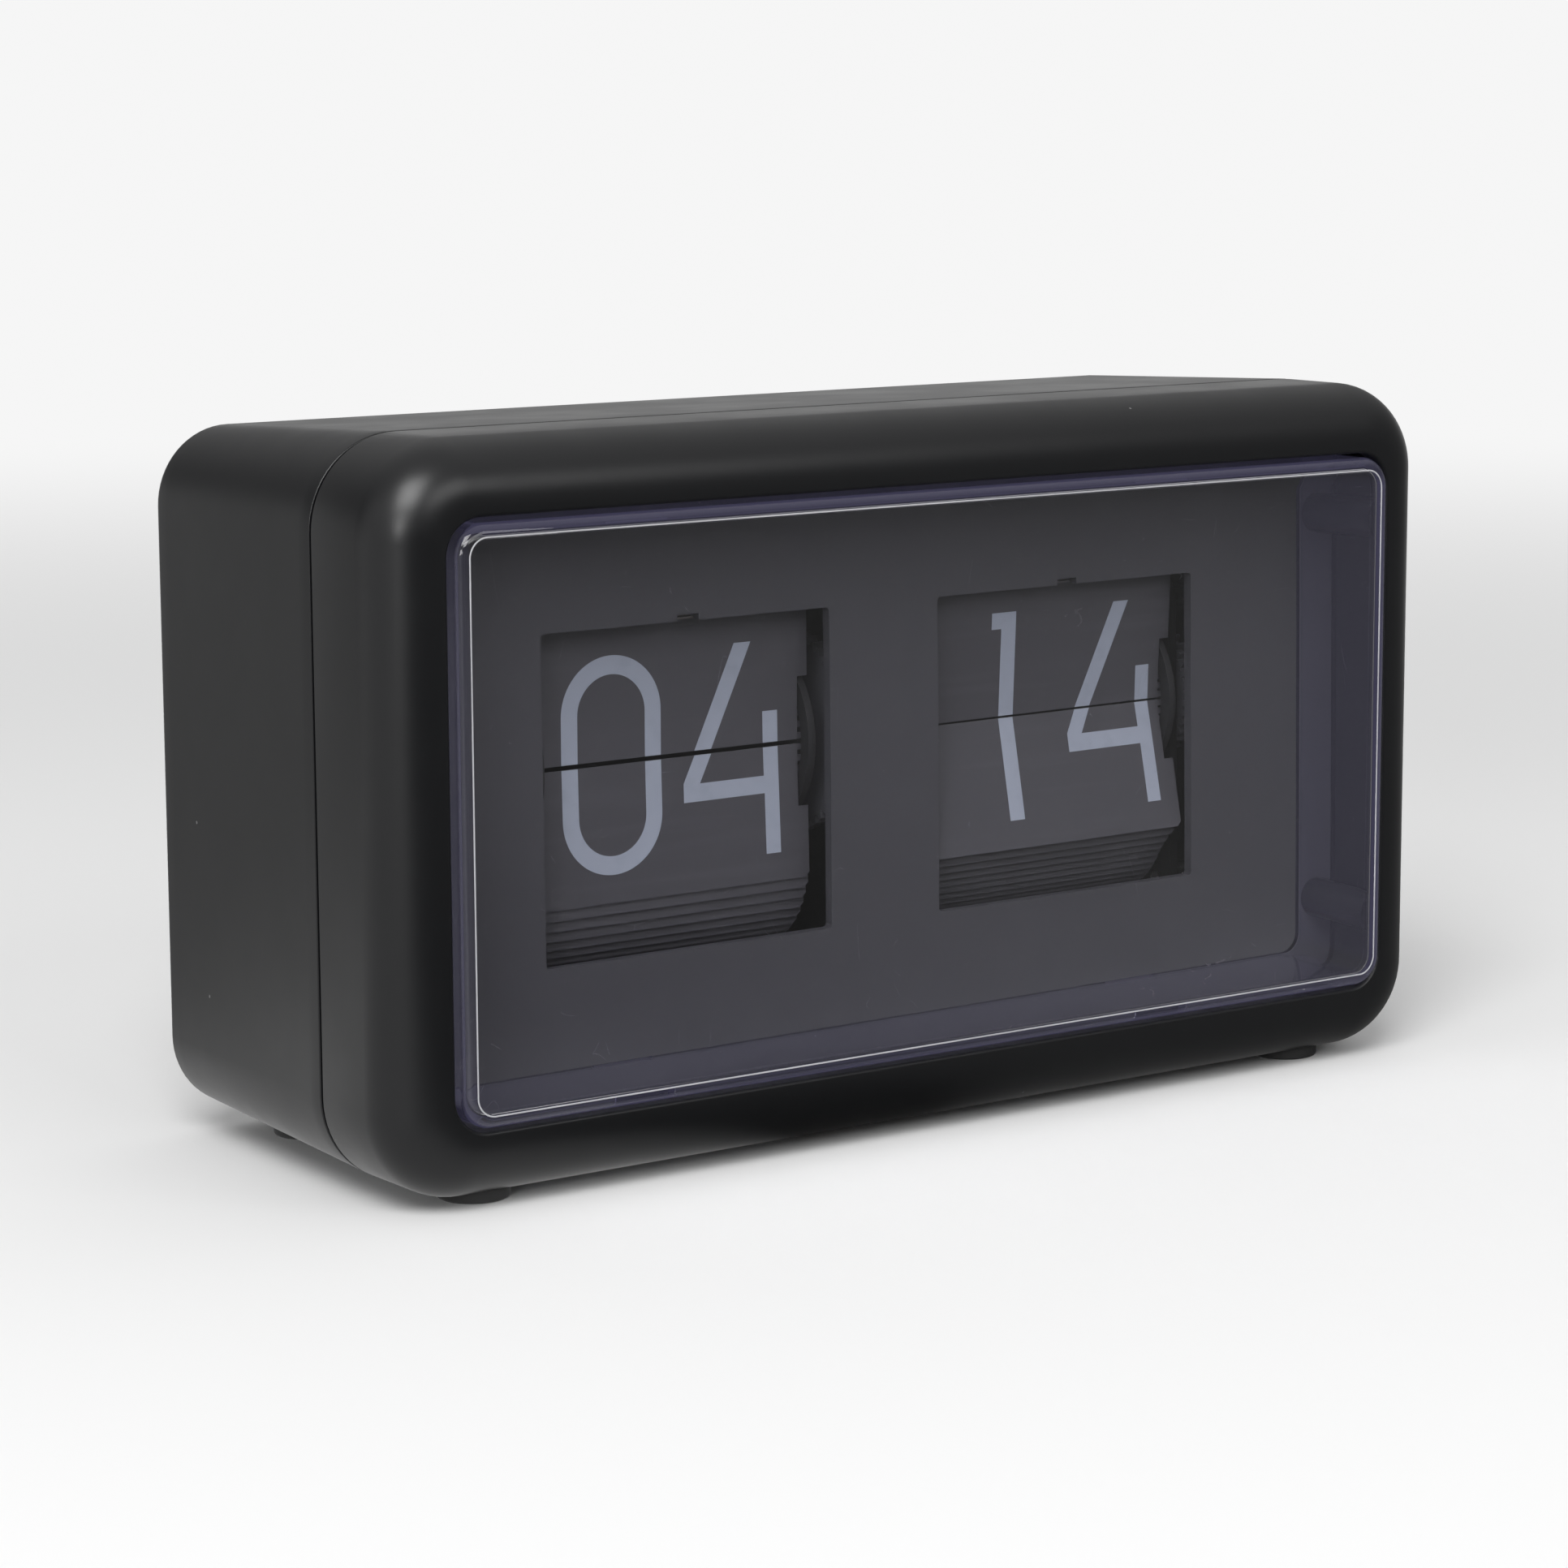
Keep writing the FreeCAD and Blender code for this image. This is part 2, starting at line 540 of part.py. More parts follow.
def dial_panel():
    """Panel behind the lens with a window for each drum."""
    inset = WALL + PANEL_CLEARANCE
    panel = case_prism(inset, PANEL_Y, PANEL_BACK)
    tools = []
    window_w = LEAF_WIDTH + 2 * WINDOW_SIDE_GAP
    window_h = WINDOW_ABOVE_SPLIT + WINDOW_BELOW_SPLIT
    window_z = AXIS_Z + (WINDOW_ABOVE_SPLIT - WINDOW_BELOW_SPLIT) / 2
    for side in (-1, 1):
        tools.append(prism(window_w, window_h, WINDOW_RADIUS, PANEL_Y - 1, PANEL_BACK + 1,
                           side * DRUM_X, window_z))
        half = FINGER_NOTCH_WIDTH / 2
        top = AXIS_Z + WINDOW_ABOVE_SPLIT
        tools.append(block(side * DRUM_X - half, side * DRUM_X + half, PANEL_Y - 1, PANEL_BACK + 1,
                           top - 1, top + FINGER_NOTCH_DEPTH))
    for side_x, side_z in mirrored((1, 1)):
        tools.append(tab_block(side_x, side_z, TAB_CLEARANCE, PANEL_Y - 1, PANEL_BACK + 1,
                               TAB_THICKNESS + TAB_CLEARANCE, TAB_CLEARANCE))
    for x, z in case_screw_places():
        tools.append(rod_y(SCREW_RADIUS + SCREW_CLEARANCE, PANEL_Y - 1, PANEL_BACK + 1, x, z))
    return cut(panel, tools)


def holding_finger(drum_x):
    """Spring strip fixed behind the panel, its tip in the notch over the top leaf."""
    half = FINGER_NOTCH_WIDTH / 2 - 0.4
    top = AXIS_Z + WINDOW_ABOVE_SPLIT
    strip = block(drum_x - half, drum_x + half, PANEL_BACK, PANEL_BACK + 0.3, top + 0.3, top + 12)
    tip = block(drum_x - half, drum_x + half, PANEL_BACK - 0.7, PANEL_BACK + 0.3, top + 0.2, top + 0.5)
    foot_pad = block(drum_x - 3, drum_x + 3, PANEL_BACK, PANEL_BACK + 0.3, top + 7, top + 12)
    rivet = rod_y(1.2, PANEL_BACK, PANEL_BACK + 1.0, drum_x, top + 9.5)
    return fuse([strip, tip, foot_pad, rivet])


# ================================================================ leaves
def leaf(drum_x, pivot_angle, direction):
    """One leaf hung on the pivot circle, pointing in the given direction."""
    pivot = around_axis(pivot_angle, PIVOT_RADIUS, drum_x)
    along = toward(direction)
    across = Vector(1, 0, 0)
    normal = across.cross(along)
    half = LEAF_WIDTH / 2
    waist = half - LEAF_NOTCH_DEPTH
    tab = LEAF_TAB_HALF_WIDTH
    right_side = [(waist, -LEAF_HEEL), (waist, -tab), (waist + LEAF_TAB_LENGTH, -tab),
                  (waist + LEAF_TAB_LENGTH, tab), (waist, tab), (waist, LEAF_NOTCH_LENGTH),
                  (half, LEAF_NOTCH_LENGTH), (half, LEAF_LENGTH - LEAF_CHAMFER),
                  (half - LEAF_CHAMFER, LEAF_LENGTH)]
    outline = right_side + [(-x, s) for x, s in reversed(right_side)]
    points = [pivot + across * x + along * s - normal * (LEAF_THICKNESS / 2) for x, s in outline]
    return Part.Face(Part.makePolygon(points + points[:1])).extrude(normal * LEAF_THICKNESS)


def leaf_directions(count, upper_lean, lower_leans):
    """Pivot angle and direction of every leaf, from the top front one over the back to the bottom."""
    pitch = 360.0 / count
    result = []
    for index in range(count):
        pivot_angle = pitch * (index + 0.5)
        trailing = 90.0 - upper_lean + pitch * index
        direction = min(trailing, 270.0)
        from_end = count - 1 - index
        if from_end < len(lower_leans):
            direction = 270.0 + lower_leans[from_end]
        result.append((pivot_angle, direction))
    return result


def leaf_set(drum_x, count, upper_lean, lower_leans):
    """The leaves of one drum as (front top leaf, other trailing leaves, hanging leaves)."""
    places = leaf_directions(count, upper_lean, lower_leans)
    flip = leaf(drum_x, *places[0])
    trailing = [leaf(drum_x, *place) for place in places[1:] if place[1] < 270.0]
    hanging = [leaf(drum_x, *place) for place in places[1:] if place[1] >= 270.0]
    return flip, Part.makeCompound(trailing), Part.makeCompound(hanging)


# ================================================================ drums
def drum_disc(drum_x, side, leaves):
    """End disc with a groove for the leaf tabs, pin holes and round lightening windows."""
    inner_face = drum_x + side * (LEAF_WIDTH / 2 - LEAF_NOTCH_DEPTH + DISC_SIDE_GAP)
    outer_face = inner_face + side * DISC_THICKNESS
    low, high = sorted((inner_face, outer_face))
    disc = rod_x(DISC_RADIUS, low, high, AXIS_Y, AXIS_Z)
    groove_low, groove_high = sorted((inner_face - side, inner_face + side * DISC_GROOVE_DEPTH))
    groove = rod_x(PIVOT_RADIUS + DISC_GROOVE_HALF_WIDTH, groove_low, groove_high, AXIS_Y, AXIS_Z)
    groove = groove.cut(rod_x(PIVOT_RADIUS - DISC_GROOVE_HALF_WIDTH, groove_low - 1, groove_high + 1,
                              AXIS_Y, AXIS_Z))
    tools = [groove, rod_x(HUB_RADIUS, low - 1, high + 1, AXIS_Y, AXIS_Z)]
    for index in range(leaves):
        hole = around_axis(360.0 * (index + 0.5) / leaves, PIVOT_RADIUS)
        tools.append(rod_x(DISC_PIN_HOLE_RADIUS, low - 1, high + 1, hole.y, hole.z))
    for index in range(DISC_WINDOW_COUNT):
        hole = around_axis(360.0 * index / DISC_WINDOW_COUNT, DISC_WINDOW_CIRCLE)
        tools.append(rod_x(DISC_WINDOW_RADIUS, low - 1, high + 1, hole.y, hole.z))
    return cut(disc, tools)


def drum_hub(x0, x1, y=AXIS_Y, z=AXIS_Z):
    """Tube that turns on the spindle and carries the discs."""
    tube = rod_x(HUB_RADIUS, x0, x1, y, z)
    return tube.cut(rod_x(SPINDLE_RADIUS + RUNNING_FIT, x0 - 1, x1 + 1, y, z))


def minute_hub():
    """Minute drum tube, with a thin nose for the carry gear and a sleeve through the right plate."""
    nose_x = CENTRE_GEAR_OFFSET
    body = drum_hub(CENTRE_GEAR_OFFSET + GEAR_WIDTH, GEAR_X + GEAR_WIDTH)
    bore = SPINDLE_RADIUS + RUNNING_FIT
    nose = rod_x(nose_radius(), nose_x, CENTRE_GEAR_OFFSET + GEAR_WIDTH, AXIS_Y, AXIS_Z)
    nose = nose.cut(rod_x(bore, nose_x - 1, CENTRE_GEAR_OFFSET + GEAR_WIDTH + 1, AXIS_Y, AXIS_Z))
    return fuse([body, nose])


def nose_radius():
    """Radius of the nose that the smallest drum gear is pressed on."""
    root = MODULE * MINUTE_CARRY_TEETH / 2 - DEDENDUM * MODULE
    return (root + SPINDLE_RADIUS + RUNNING_FIT) / 2


def spindle():
    """Fixed steel rod that both drums turn on."""
    rod = rod_x(SPINDLE_RADIUS, -PLATE_X - PLATE_THICKNESS - 2, OUTER_PLATE_END + 1.0, AXIS_Y, AXIS_Z)
    ends = [edge for edge in rod.Edges if edge.BoundBox.XLength < 1e-6]
    return rod.makeChamfer(0.3, ends)


def spindle_clips():
    """Two split rings at the ends of the spindle."""
    clips = []
    for x in (-PLATE_X - PLATE_THICKNESS - 0.9, OUTER_PLATE_END + 0.2):
        ring = rod_x(SPINDLE_RADIUS * 2, x, x + 0.6, AXIS_Y, AXIS_Z)
        clips.append(cut(ring, [rod_x(SPINDLE_RADIUS, x - 1, x + 2, AXIS_Y, AXIS_Z),
                                block(x - 1, x + 2, AXIS_Y - 0.8, AXIS_Y + 0.8, AXIS_Z, AXIS_Z + 4)]))
    return Part.makeCompound(clips)


# ================================================================ movement frame
def side_plate(x0, holes, windows=()):
    """Upright plate with bearing holes given as (radius, y, z)."""
    plate = block(x0, x0 + PLATE_THICKNESS, AXIS_Y - PLATE_FRONT, AXIS_Y + PLATE_BACK,
                  BASE_TOP, AXIS_Z + PLATE_TOP)
    corners = [edge for edge in plate.Edges if edge.BoundBox.XLength > PLATE_THICKNESS / 2
               and edge.BoundBox.ZMin > AXIS_Z]
    plate = plate.makeFillet(6.0, corners)
    tools = [rod_x(radius, x0 - 1, x0 + PLATE_THICKNESS + 1, y, z) for radius, y, z in holes]
    notch_top = max(BASE_TOP, CELL_Z + CELL_RADIUS + 2 * CRADLE_WALL + CRADLE_CLEARANCE)
    tools.append(block(x0 - 1, x0 + PLATE_THICKNESS + 1, BASE_REAR, AXIS_Y + PLATE_BACK + 1,
                       BASE_TOP - 1, notch_top))
    return cut(plate, tools + list(windows))


def pillar_places():
    """Y and Z of the pillars between the right plate and the outer plate."""
    return [(AXIS_Y - PLATE_FRONT + 3.5, BASE_TOP + 4), (AXIS_Y - PLATE_FRONT + 3.5, AXIS_Z + PLATE_TOP - 5),
            (AXIS_Y + PLATE_BACK - 4, AXIS_Z - 16)]


def left_side_plate():
    """Left bearing plate."""
    return side_plate(-PLATE_X - PLATE_THICKNESS, [(SPINDLE_RADIUS, AXIS_Y, AXIS_Z)])


def centre_plate():
    """Bearing plate between the drums, which also carries the carry shaft."""
    holes = [(SPINDLE_RADIUS, AXIS_Y, AXIS_Z), (CARRY_SHAFT_RADIUS + RUNNING_FIT, CARRY_AT.y, CARRY_AT.z)]
    return side_plate(-PLATE_THICKNESS / 2, holes)


def right_side_plate():
    """Right bearing plate with the sleeve hole and gear shaft holes."""
    holes = [(HUB_RADIUS + RUNNING_FIT, AXIS_Y, AXIS_Z), (SMALL_SHAFT_RADIUS, IDLER_AT.y, IDLER_AT.z)]
    holes += [(SMALL_SCREW_RADIUS, y, z) for y, z in pillar_places()]
    return side_plate(PLATE_X, holes)


def outer_plate():
    """Outer plate of the gear bay, which the motor is screwed to."""
    holes = [(SPINDLE_RADIUS, AXIS_Y, AXIS_Z), (SMALL_SHAFT_RADIUS, IDLER_AT.y, IDLER_AT.z),
             (SMALL_SHAFT_RADIUS + RUNNING_FIT, WHEEL_Y, WHEEL_Z),
             (MOTOR_SHAFT_RADIUS + 0.5, MOTOR_AT.y, MOTOR_AT.z)]
    holes += [(SMALL_SCREW_RADIUS, y, z) for y, z in pillar_places()]
    holes += [(SMALL_SCREW_RADIUS, y, z) for y, z in motor_screw_places()]
    plate = side_plate(OUTER_PLATE_X, holes)
    arm = block(OUTER_PLATE_X, OUTER_PLATE_END, AXIS_Y + PLATE_BACK - 2, WHEEL_Y + 3.5,
                WHEEL_Z - 5, WHEEL_Z + 5)
    arm = arm.cut(rod_x(SMALL_SHAFT_RADIUS + RUNNING_FIT, OUTER_PLATE_X - 1, OUTER_PLATE_END + 1,
                        WHEEL_Y, WHEEL_Z))
    return fuse([plate, arm])


def pillars():
    """Spacer pillars of the gear bay, each with a screw through its middle."""
    x0 = PLATE_X + PLATE_THICKNESS
    return Part.makeCompound([rod_x(PILLAR_RADIUS, x0, OUTER_PLATE_X, y, z).cut(
        rod_x(SMALL_SCREW_RADIUS, x0 - 1, OUTER_PLATE_X + 1, y, z)) for y, z in pillar_places()])


def small_screw(x0, x1, y, z):
    """Small screw along X with its head outside x1."""
    shank = rod_x(SMALL_SCREW_RADIUS, x0, x1, y, z)
    head = rod_x(SMALL_HEAD_RADIUS, x1, x1 + SMALL_HEAD_HEIGHT, y, z)
    slot = block(x1 + SMALL_HEAD_HEIGHT / 2, x1 + 2, y - 0.2, y + 0.2, z - 3, z + 3)
    return cut(fuse([shank, head]), [slot])


def pillar_screws():
    """Screws that clamp the gear bay."""
    return Part.makeCompound([small_screw(PLATE_X + 0.2, OUTER_PLATE_END, y, z) for y, z in pillar_places()])


def movement_base():
    """Flat plate on the case posts that the upright plates stand on."""
    plate = block(-PLATE_X - PLATE_THICKNESS - BASE_END_MARGIN, OUTER_PLATE_END + BASE_END_MARGIN,
                  AXIS_Y - BASE_FRONT, BASE_REAR, BASE_BOTTOM, BASE_TOP)
    return cut(plate, [rod_z(SMALL_SCREW_RADIUS, BASE_BOTTOM - 1, BASE_TOP + 1, x, y)
                       for x, y in base_post_places()])


def base_screws():
    """Screws that hold the movement base on the case posts."""
    screws = []
    for x, y in base_post_places():
        shank = rod_z(SMALL_SCREW_RADIUS, BASE_TOP - SMALL_SCREW_LENGTH, BASE_TOP, x, y)
        head = rod_z(SMALL_HEAD_RADIUS, BASE_TOP, BASE_TOP + SMALL_HEAD_HEIGHT, x, y)
        slot = block(x - 0.2, x + 0.2, y - 3, y + 3, BASE_TOP + SMALL_HEAD_HEIGHT / 2, BASE_TOP + 2)
        screws.append(cut(fuse([shank, head]), [slot]))
    return Part.makeCompound(screws)


# ================================================================ gear trains
def carry_shaft():
    """Shaft of the 24 to 1 carry, through the centre plate."""
    end = CENTRE_GEAR_OFFSET + GEAR_WIDTH + 0.8
    return rod_x(CARRY_SHAFT_RADIUS, -end, end, CARRY_AT.y, CARRY_AT.z)


def minute_carry_gear():
    """Small gear on the minute drum that drives the carry."""
    return gear(MINUTE_CARRY_TEETH, CARRY_DIRECTION, CENTRE_GEAR_OFFSET, GEAR_WIDTH,
                AXIS_Y, AXIS_Z, nose_radius())


def carry_wheel():
    """Large gear of the carry."""
    phase = mate_phase(CARRY_DIRECTION, MINUTE_CARRY_TEETH, CARRY_DIRECTION, CARRY_WHEEL_TEETH)
    return gear(CARRY_WHEEL_TEETH, phase, CENTRE_GEAR_OFFSET, GEAR_WIDTH, CARRY_AT.y, CARRY_AT.z,
                CARRY_SHAFT_RADIUS)


def carry_pinion():
    """Small gear of the carry."""
    return gear(CARRY_PINION_TEETH, CARRY_DIRECTION + 180.0, -CENTRE_GEAR_OFFSET - GEAR_WIDTH, GEAR_WIDTH,
                CARRY_AT.y, CARRY_AT.z, CARRY_SHAFT_RADIUS)


def hour_gear():
    """Large gear on the hour drum, driven by the carry."""
    phase = mate_phase(CARRY_DIRECTION + 180.0, CARRY_PINION_TEETH, CARRY_DIRECTION + 180.0,
                       HOUR_GEAR_TEETH)
    return gear(HOUR_GEAR_TEETH, phase, -CENTRE_GEAR_OFFSET - GEAR_WIDTH, GEAR_WIDTH,
                AXIS_Y, AXIS_Z, HUB_RADIUS)


def drive_gear():
    """Gear on the minute drum's sleeve, turned by the motor or the setting wheel."""
    return gear(DRIVE_GEAR_TEETH, MOTOR_DIRECTION, GEAR_X, GEAR_WIDTH, AXIS_Y, AXIS_Z, HUB_RADIUS)


def motor_pinion():
    """Pinion on the motor shaft."""
    phase = mate_phase(MOTOR_DIRECTION, DRIVE_GEAR_TEETH, MOTOR_DIRECTION, MOTOR_PINION_TEETH)
    return gear(MOTOR_PINION_TEETH, phase, GEAR_X, GEAR_WIDTH, MOTOR_AT.y, MOTOR_AT.z,
                MOTOR_SHAFT_RADIUS)


def idler_phase():
    """Phase of the idler gear, set by the drive gear."""
    return mate_phase(MOTOR_DIRECTION, DRIVE_GEAR_TEETH, IDLER_DIRECTION, IDLER_TEETH)


def idler_gear():
    """Gear between the drive gear and the setting gear, free on its fixed shaft."""
    return gear(IDLER_TEETH, idler_phase(), GEAR_X, GEAR_WIDTH, IDLER_AT.y, IDLER_AT.z,
                SMALL_SHAFT_RADIUS + RUNNING_FIT)


def idler_shaft():
    """Fixed shaft of the idler gear, between the plates."""
    return rod_x(SMALL_SHAFT_RADIUS, PLATE_X, OUTER_PLATE_END, IDLER_AT.y, IDLER_AT.z)


def setting_gear():
    """Gear on the setting shaft."""
    phase = mate_phase(idler_phase(), IDLER_TEETH, IDLER_TO_SETTING_DIRECTION, SETTING_GEAR_TEETH)
    return gear(SETTING_GEAR_TEETH, phase, GEAR_X, GEAR_WIDTH, WHEEL_Y, WHEEL_Z, SMALL_SHAFT_RADIUS)


def setting_shaft():
    """Shaft that turns with the setting wheel."""
    return rod_x(SMALL_SHAFT_RADIUS, GEAR_X - 0.4, WHEEL_X + WHEEL_WIDTH + 0.6, WHEEL_Y, WHEEL_Z)


def setting_wheel():
    """Ridged thumb wheel that shows through the rear wall."""
    x0 = WHEEL_X
    wheel = rod_x(WHEEL_RADIUS, x0, x0 + WHEEL_WIDTH, WHEEL_Y, WHEEL_Z)
    rims = [edge for edge in wheel.Edges if edge.BoundBox.XLength < 1e-6]
    wheel = wheel.makeChamfer(WHEEL_RIDGE_DEPTH, rims)
    tools = [rod_x(SMALL_SHAFT_RADIUS, x0 - 1, x0 + WHEEL_WIDTH + 1, WHEEL_Y, WHEEL_Z)]
    pitch = 360.0 / WHEEL_RIDGES
    groove_half = math.radians(pitch) * WHEEL_RADIUS / 4
    for index in range(WHEEL_RIDGES):
        angle = pitch * (index + 0.5)
        points = []
        for reach, half in ((WHEEL_RADIUS - WHEEL_RIDGE_DEPTH, 0.0), (WHEEL_RADIUS + 1, groove_half * 3),
                            (WHEEL_RADIUS + 1, -groove_half * 3)):
            points.append(Vector(x0 - 1, WHEEL_Y, WHEEL_Z) + toward(angle) * reach
                          + toward(angle + 90.0) * half)
        tools.append(Part.Face(Part.makePolygon(points + points[:1])).extrude(
            Vector(WHEEL_WIDTH + 2, 0, 0)))
    return cut(wheel, tools)


# ================================================================ motor
def motor_screw_places():
    """Y and Z of the two motor ear screws."""
    middle = MOTOR_RADIUS + SMALL_HEAD_RADIUS
    return [(MOTOR_AT.y - middle * math.cos(math.radians(angle)),
             MOTOR_AT.z + middle * math.sin(math.radians(angle))) for angle in (60.0, 240.0)]


def drive_motor():
    """Geared clock motor: round can with two ears and a front boss."""
    x0 = OUTER_PLATE_END
    can = rod_x(MOTOR_RADIUS, x0, x0 + MOTOR_LENGTH, MOTOR_AT.y, MOTOR_AT.z)
    rim = [edge for edge in can.Edges if edge.BoundBox.XMin > x0 + MOTOR_LENGTH / 2
           and edge.BoundBox.XLength < 1e-6]
    can = can.makeFillet(1.0, rim)
    pieces = [can]
    for y, z in motor_screw_places():
        ear = rod_x(SMALL_HEAD_RADIUS + 0.6, x0, x0 + 1.0, y, z)
        pieces.append(ear)
        middle_y = (y + MOTOR_AT.y) / 2
        middle_z = (z + MOTOR_AT.z) / 2
        pieces.append(rod_x(MOTOR_RADIUS / 2, x0, x0 + 1.0, middle_y, middle_z))
    body = fuse(pieces)
    tools = [rod_x(MOTOR_SHAFT_RADIUS + RUNNING_FIT, x0 - 1, x0 + MOTOR_LENGTH / 2,
                   MOTOR_AT.y, MOTOR_AT.z)]
    tools += [rod_x(SMALL_SCREW_RADIUS, x0 - 1, x0 + 2, y, z) for y, z in motor_screw_places()]
    return cut(body, tools)


def motor_shaft():
    """Output shaft of the motor."""
    return rod_x(MOTOR_SHAFT_RADIUS, GEAR_X - 0.4, OUTER_PLATE_END + MOTOR_LENGTH / 2 - 0.5,
                 MOTOR_AT.y, MOTOR_AT.z)


def motor_screws():
    """Two screws through the motor's ears."""
    return Part.makeCompound([small_screw(OUTER_PLATE_X + 0.1, OUTER_PLATE_END + 1.0, y, z)
                              for y, z in motor_screw_places()])


# ================================================================ battery and board
def battery():
    """AA cell, button to the left."""
    body = rod_x(CELL_RADIUS, CELL_LEFT, CELL_RIGHT, CELL_Y, CELL_Z)
    rims = [edge for edge in body.Edges if edge.BoundBox.XLength < 1e-6]
    body = body.makeFillet(0.6, rims)
    button = rod_x(CELL_BUTTON_RADIUS, CELL_LEFT - CELL_BUTTON_LENGTH, CELL_LEFT + 1, CELL_Y, CELL_Z)
    return fuse([body, button])


def cradle_ends():
    """Inside faces of the cradle's end walls."""
    plate = 0.4
    return CELL_LEFT - CELL_BUTTON_LENGTH - plate, CELL_RIGHT + SPRING_LENGTH + plate


def battery_cradle():
    """Open tray that holds the cell, open to the rear and the top."""
    left, right = cradle_ends()
    room = CELL_RADIUS + CRADLE_CLEARANCE
    rear = INNER_BACK - CRADLE_CLEARANCE
    front = CELL_Y - room
    low = CELL_Z - room
    high = CELL_Z + CELL_RADIUS / 2
    outer = block(left - CRADLE_WALL, right + CRADLE_WALL, front - CRADLE_WALL, rear,
                  low - CRADLE_WALL, high)
    inner = block(left, right, front, rear + 1, low, high + 1)
    return outer.cut(inner)


def negative_spring():
    """Coiled contact spring on a small plate."""
    _, right = cradle_ends()
    plate = block(right - 0.4, right, CELL_Y - 4.5, CELL_Y + 4.5, CELL_Z - 6, CELL_Z + 3)
    turns = 3.0
    start = CELL_RIGHT + SPRING_WIRE / 2
    height = SPRING_LENGTH - SPRING_WIRE * 0.75
    helix = Part.makeHelix(height / turns, height, SPRING_RADIUS)
    section = Part.Wire(Part.makeCircle(SPRING_WIRE / 2, Vector(SPRING_RADIUS, 0, 0), Vector(0, 1, 0)))
    coil = Part.Wire(helix.Edges).makePipeShell([section], True, True)
    coil.rotate(Vector(0, 0, 0), Vector(0, 1, 0), 90)
    coil.translate(Vector(start, CELL_Y, CELL_Z))
    return fuse([coil, plate])


def positive_contact():
    """Bent spring strip at the button end."""
    left, _ = cradle_ends()
    plate = block(left, left + 0.4, CELL_Y - 4.5, CELL_Y + 4.5, CELL_Z - 6, CELL_Z + 3)
    tail = block(left, left + 0.4, CELL_Y - 1.5, CELL_Y + 1.5, CELL_Z + 3, CELL_Z + 8)
    return fuse([plate, tail])


def battery_door():
    """Snap-in door in the rear wall, with a finger recess and an inner rim."""
    clear = DOOR_CLEARANCE
    plate = prism(DOOR_WIDTH - 2 * clear, DOOR_HEIGHT - 2 * clear, DOOR_LEDGE - clear,
                  BACK_Y - DOOR_THICKNESS, BACK_Y, CELL_X, CELL_Z)
    inset = DOOR_LEDGE + clear
    rim = prism(DOOR_WIDTH - 2 * inset, DOOR_HEIGHT - 2 * inset, 0.5, INNER_BACK,
                BACK_Y - DOOR_THICKNESS, CELL_X, CELL_Z)
    rim = rim.cut(prism(DOOR_WIDTH - 2 * inset - 2, DOOR_HEIGHT - 2 * inset - 2, 0.3, INNER_BACK - 1,
                        BACK_Y, CELL_X, CELL_Z))
    scoop = Part.makeSphere(7.0, Vector(CELL_X, BACK_Y + 6.3, CELL_Z + DOOR_HEIGHT / 2 - 5.5))
    return fuse([plate, rim]).cut(scoop)


def board_peg_places():
    """X and Y of the pegs under the circuit board."""
    return [(BOARD_X + side * (BOARD_WIDTH / 2 - 3), AXIS_Y + place)
            for side in (-1, 1) for place in (-BOARD_DEPTH / 2 + 3, BOARD_DEPTH / 2 - 3)]


def circuit_board():
    """Board of the motor drive, on four pegs."""
    return block(BOARD_X - BOARD_WIDTH / 2, BOARD_X + BOARD_WIDTH / 2, AXIS_Y - BOARD_DEPTH / 2,
                 AXIS_Y + BOARD_DEPTH / 2, BOARD_Z, BOARD_Z + BOARD_THICKNESS)


def board_components():
    """Quartz can, driver chip, capacitor and wire header."""
    top = BOARD_Z + BOARD_THICKNESS
    chip = block(BOARD_X - 8, BOARD_X + 1, AXIS_Y - 4, AXIS_Y + 2, top, top + 1.6)
    quartz = block(BOARD_X + 6, BOARD_X + 9, AXIS_Y - 4, AXIS_Y + 4, top, top + 2.4)
    quartz = quartz.makeFillet(1.0, [e for e in quartz.Edges if e.BoundBox.YLength > 5
                                     and e.BoundBox.ZMin > top + 1])
    capacitor = rod_z(2.5, top, top + 5.0, BOARD_X - 13, AXIS_Y + 1)
    header = block(BOARD_X + 12, BOARD_X + 16, AXIS_Y - 5, AXIS_Y + 5, top, top + 4.0)
    return Part.makeCompound([chip, quartz, capacitor, header])


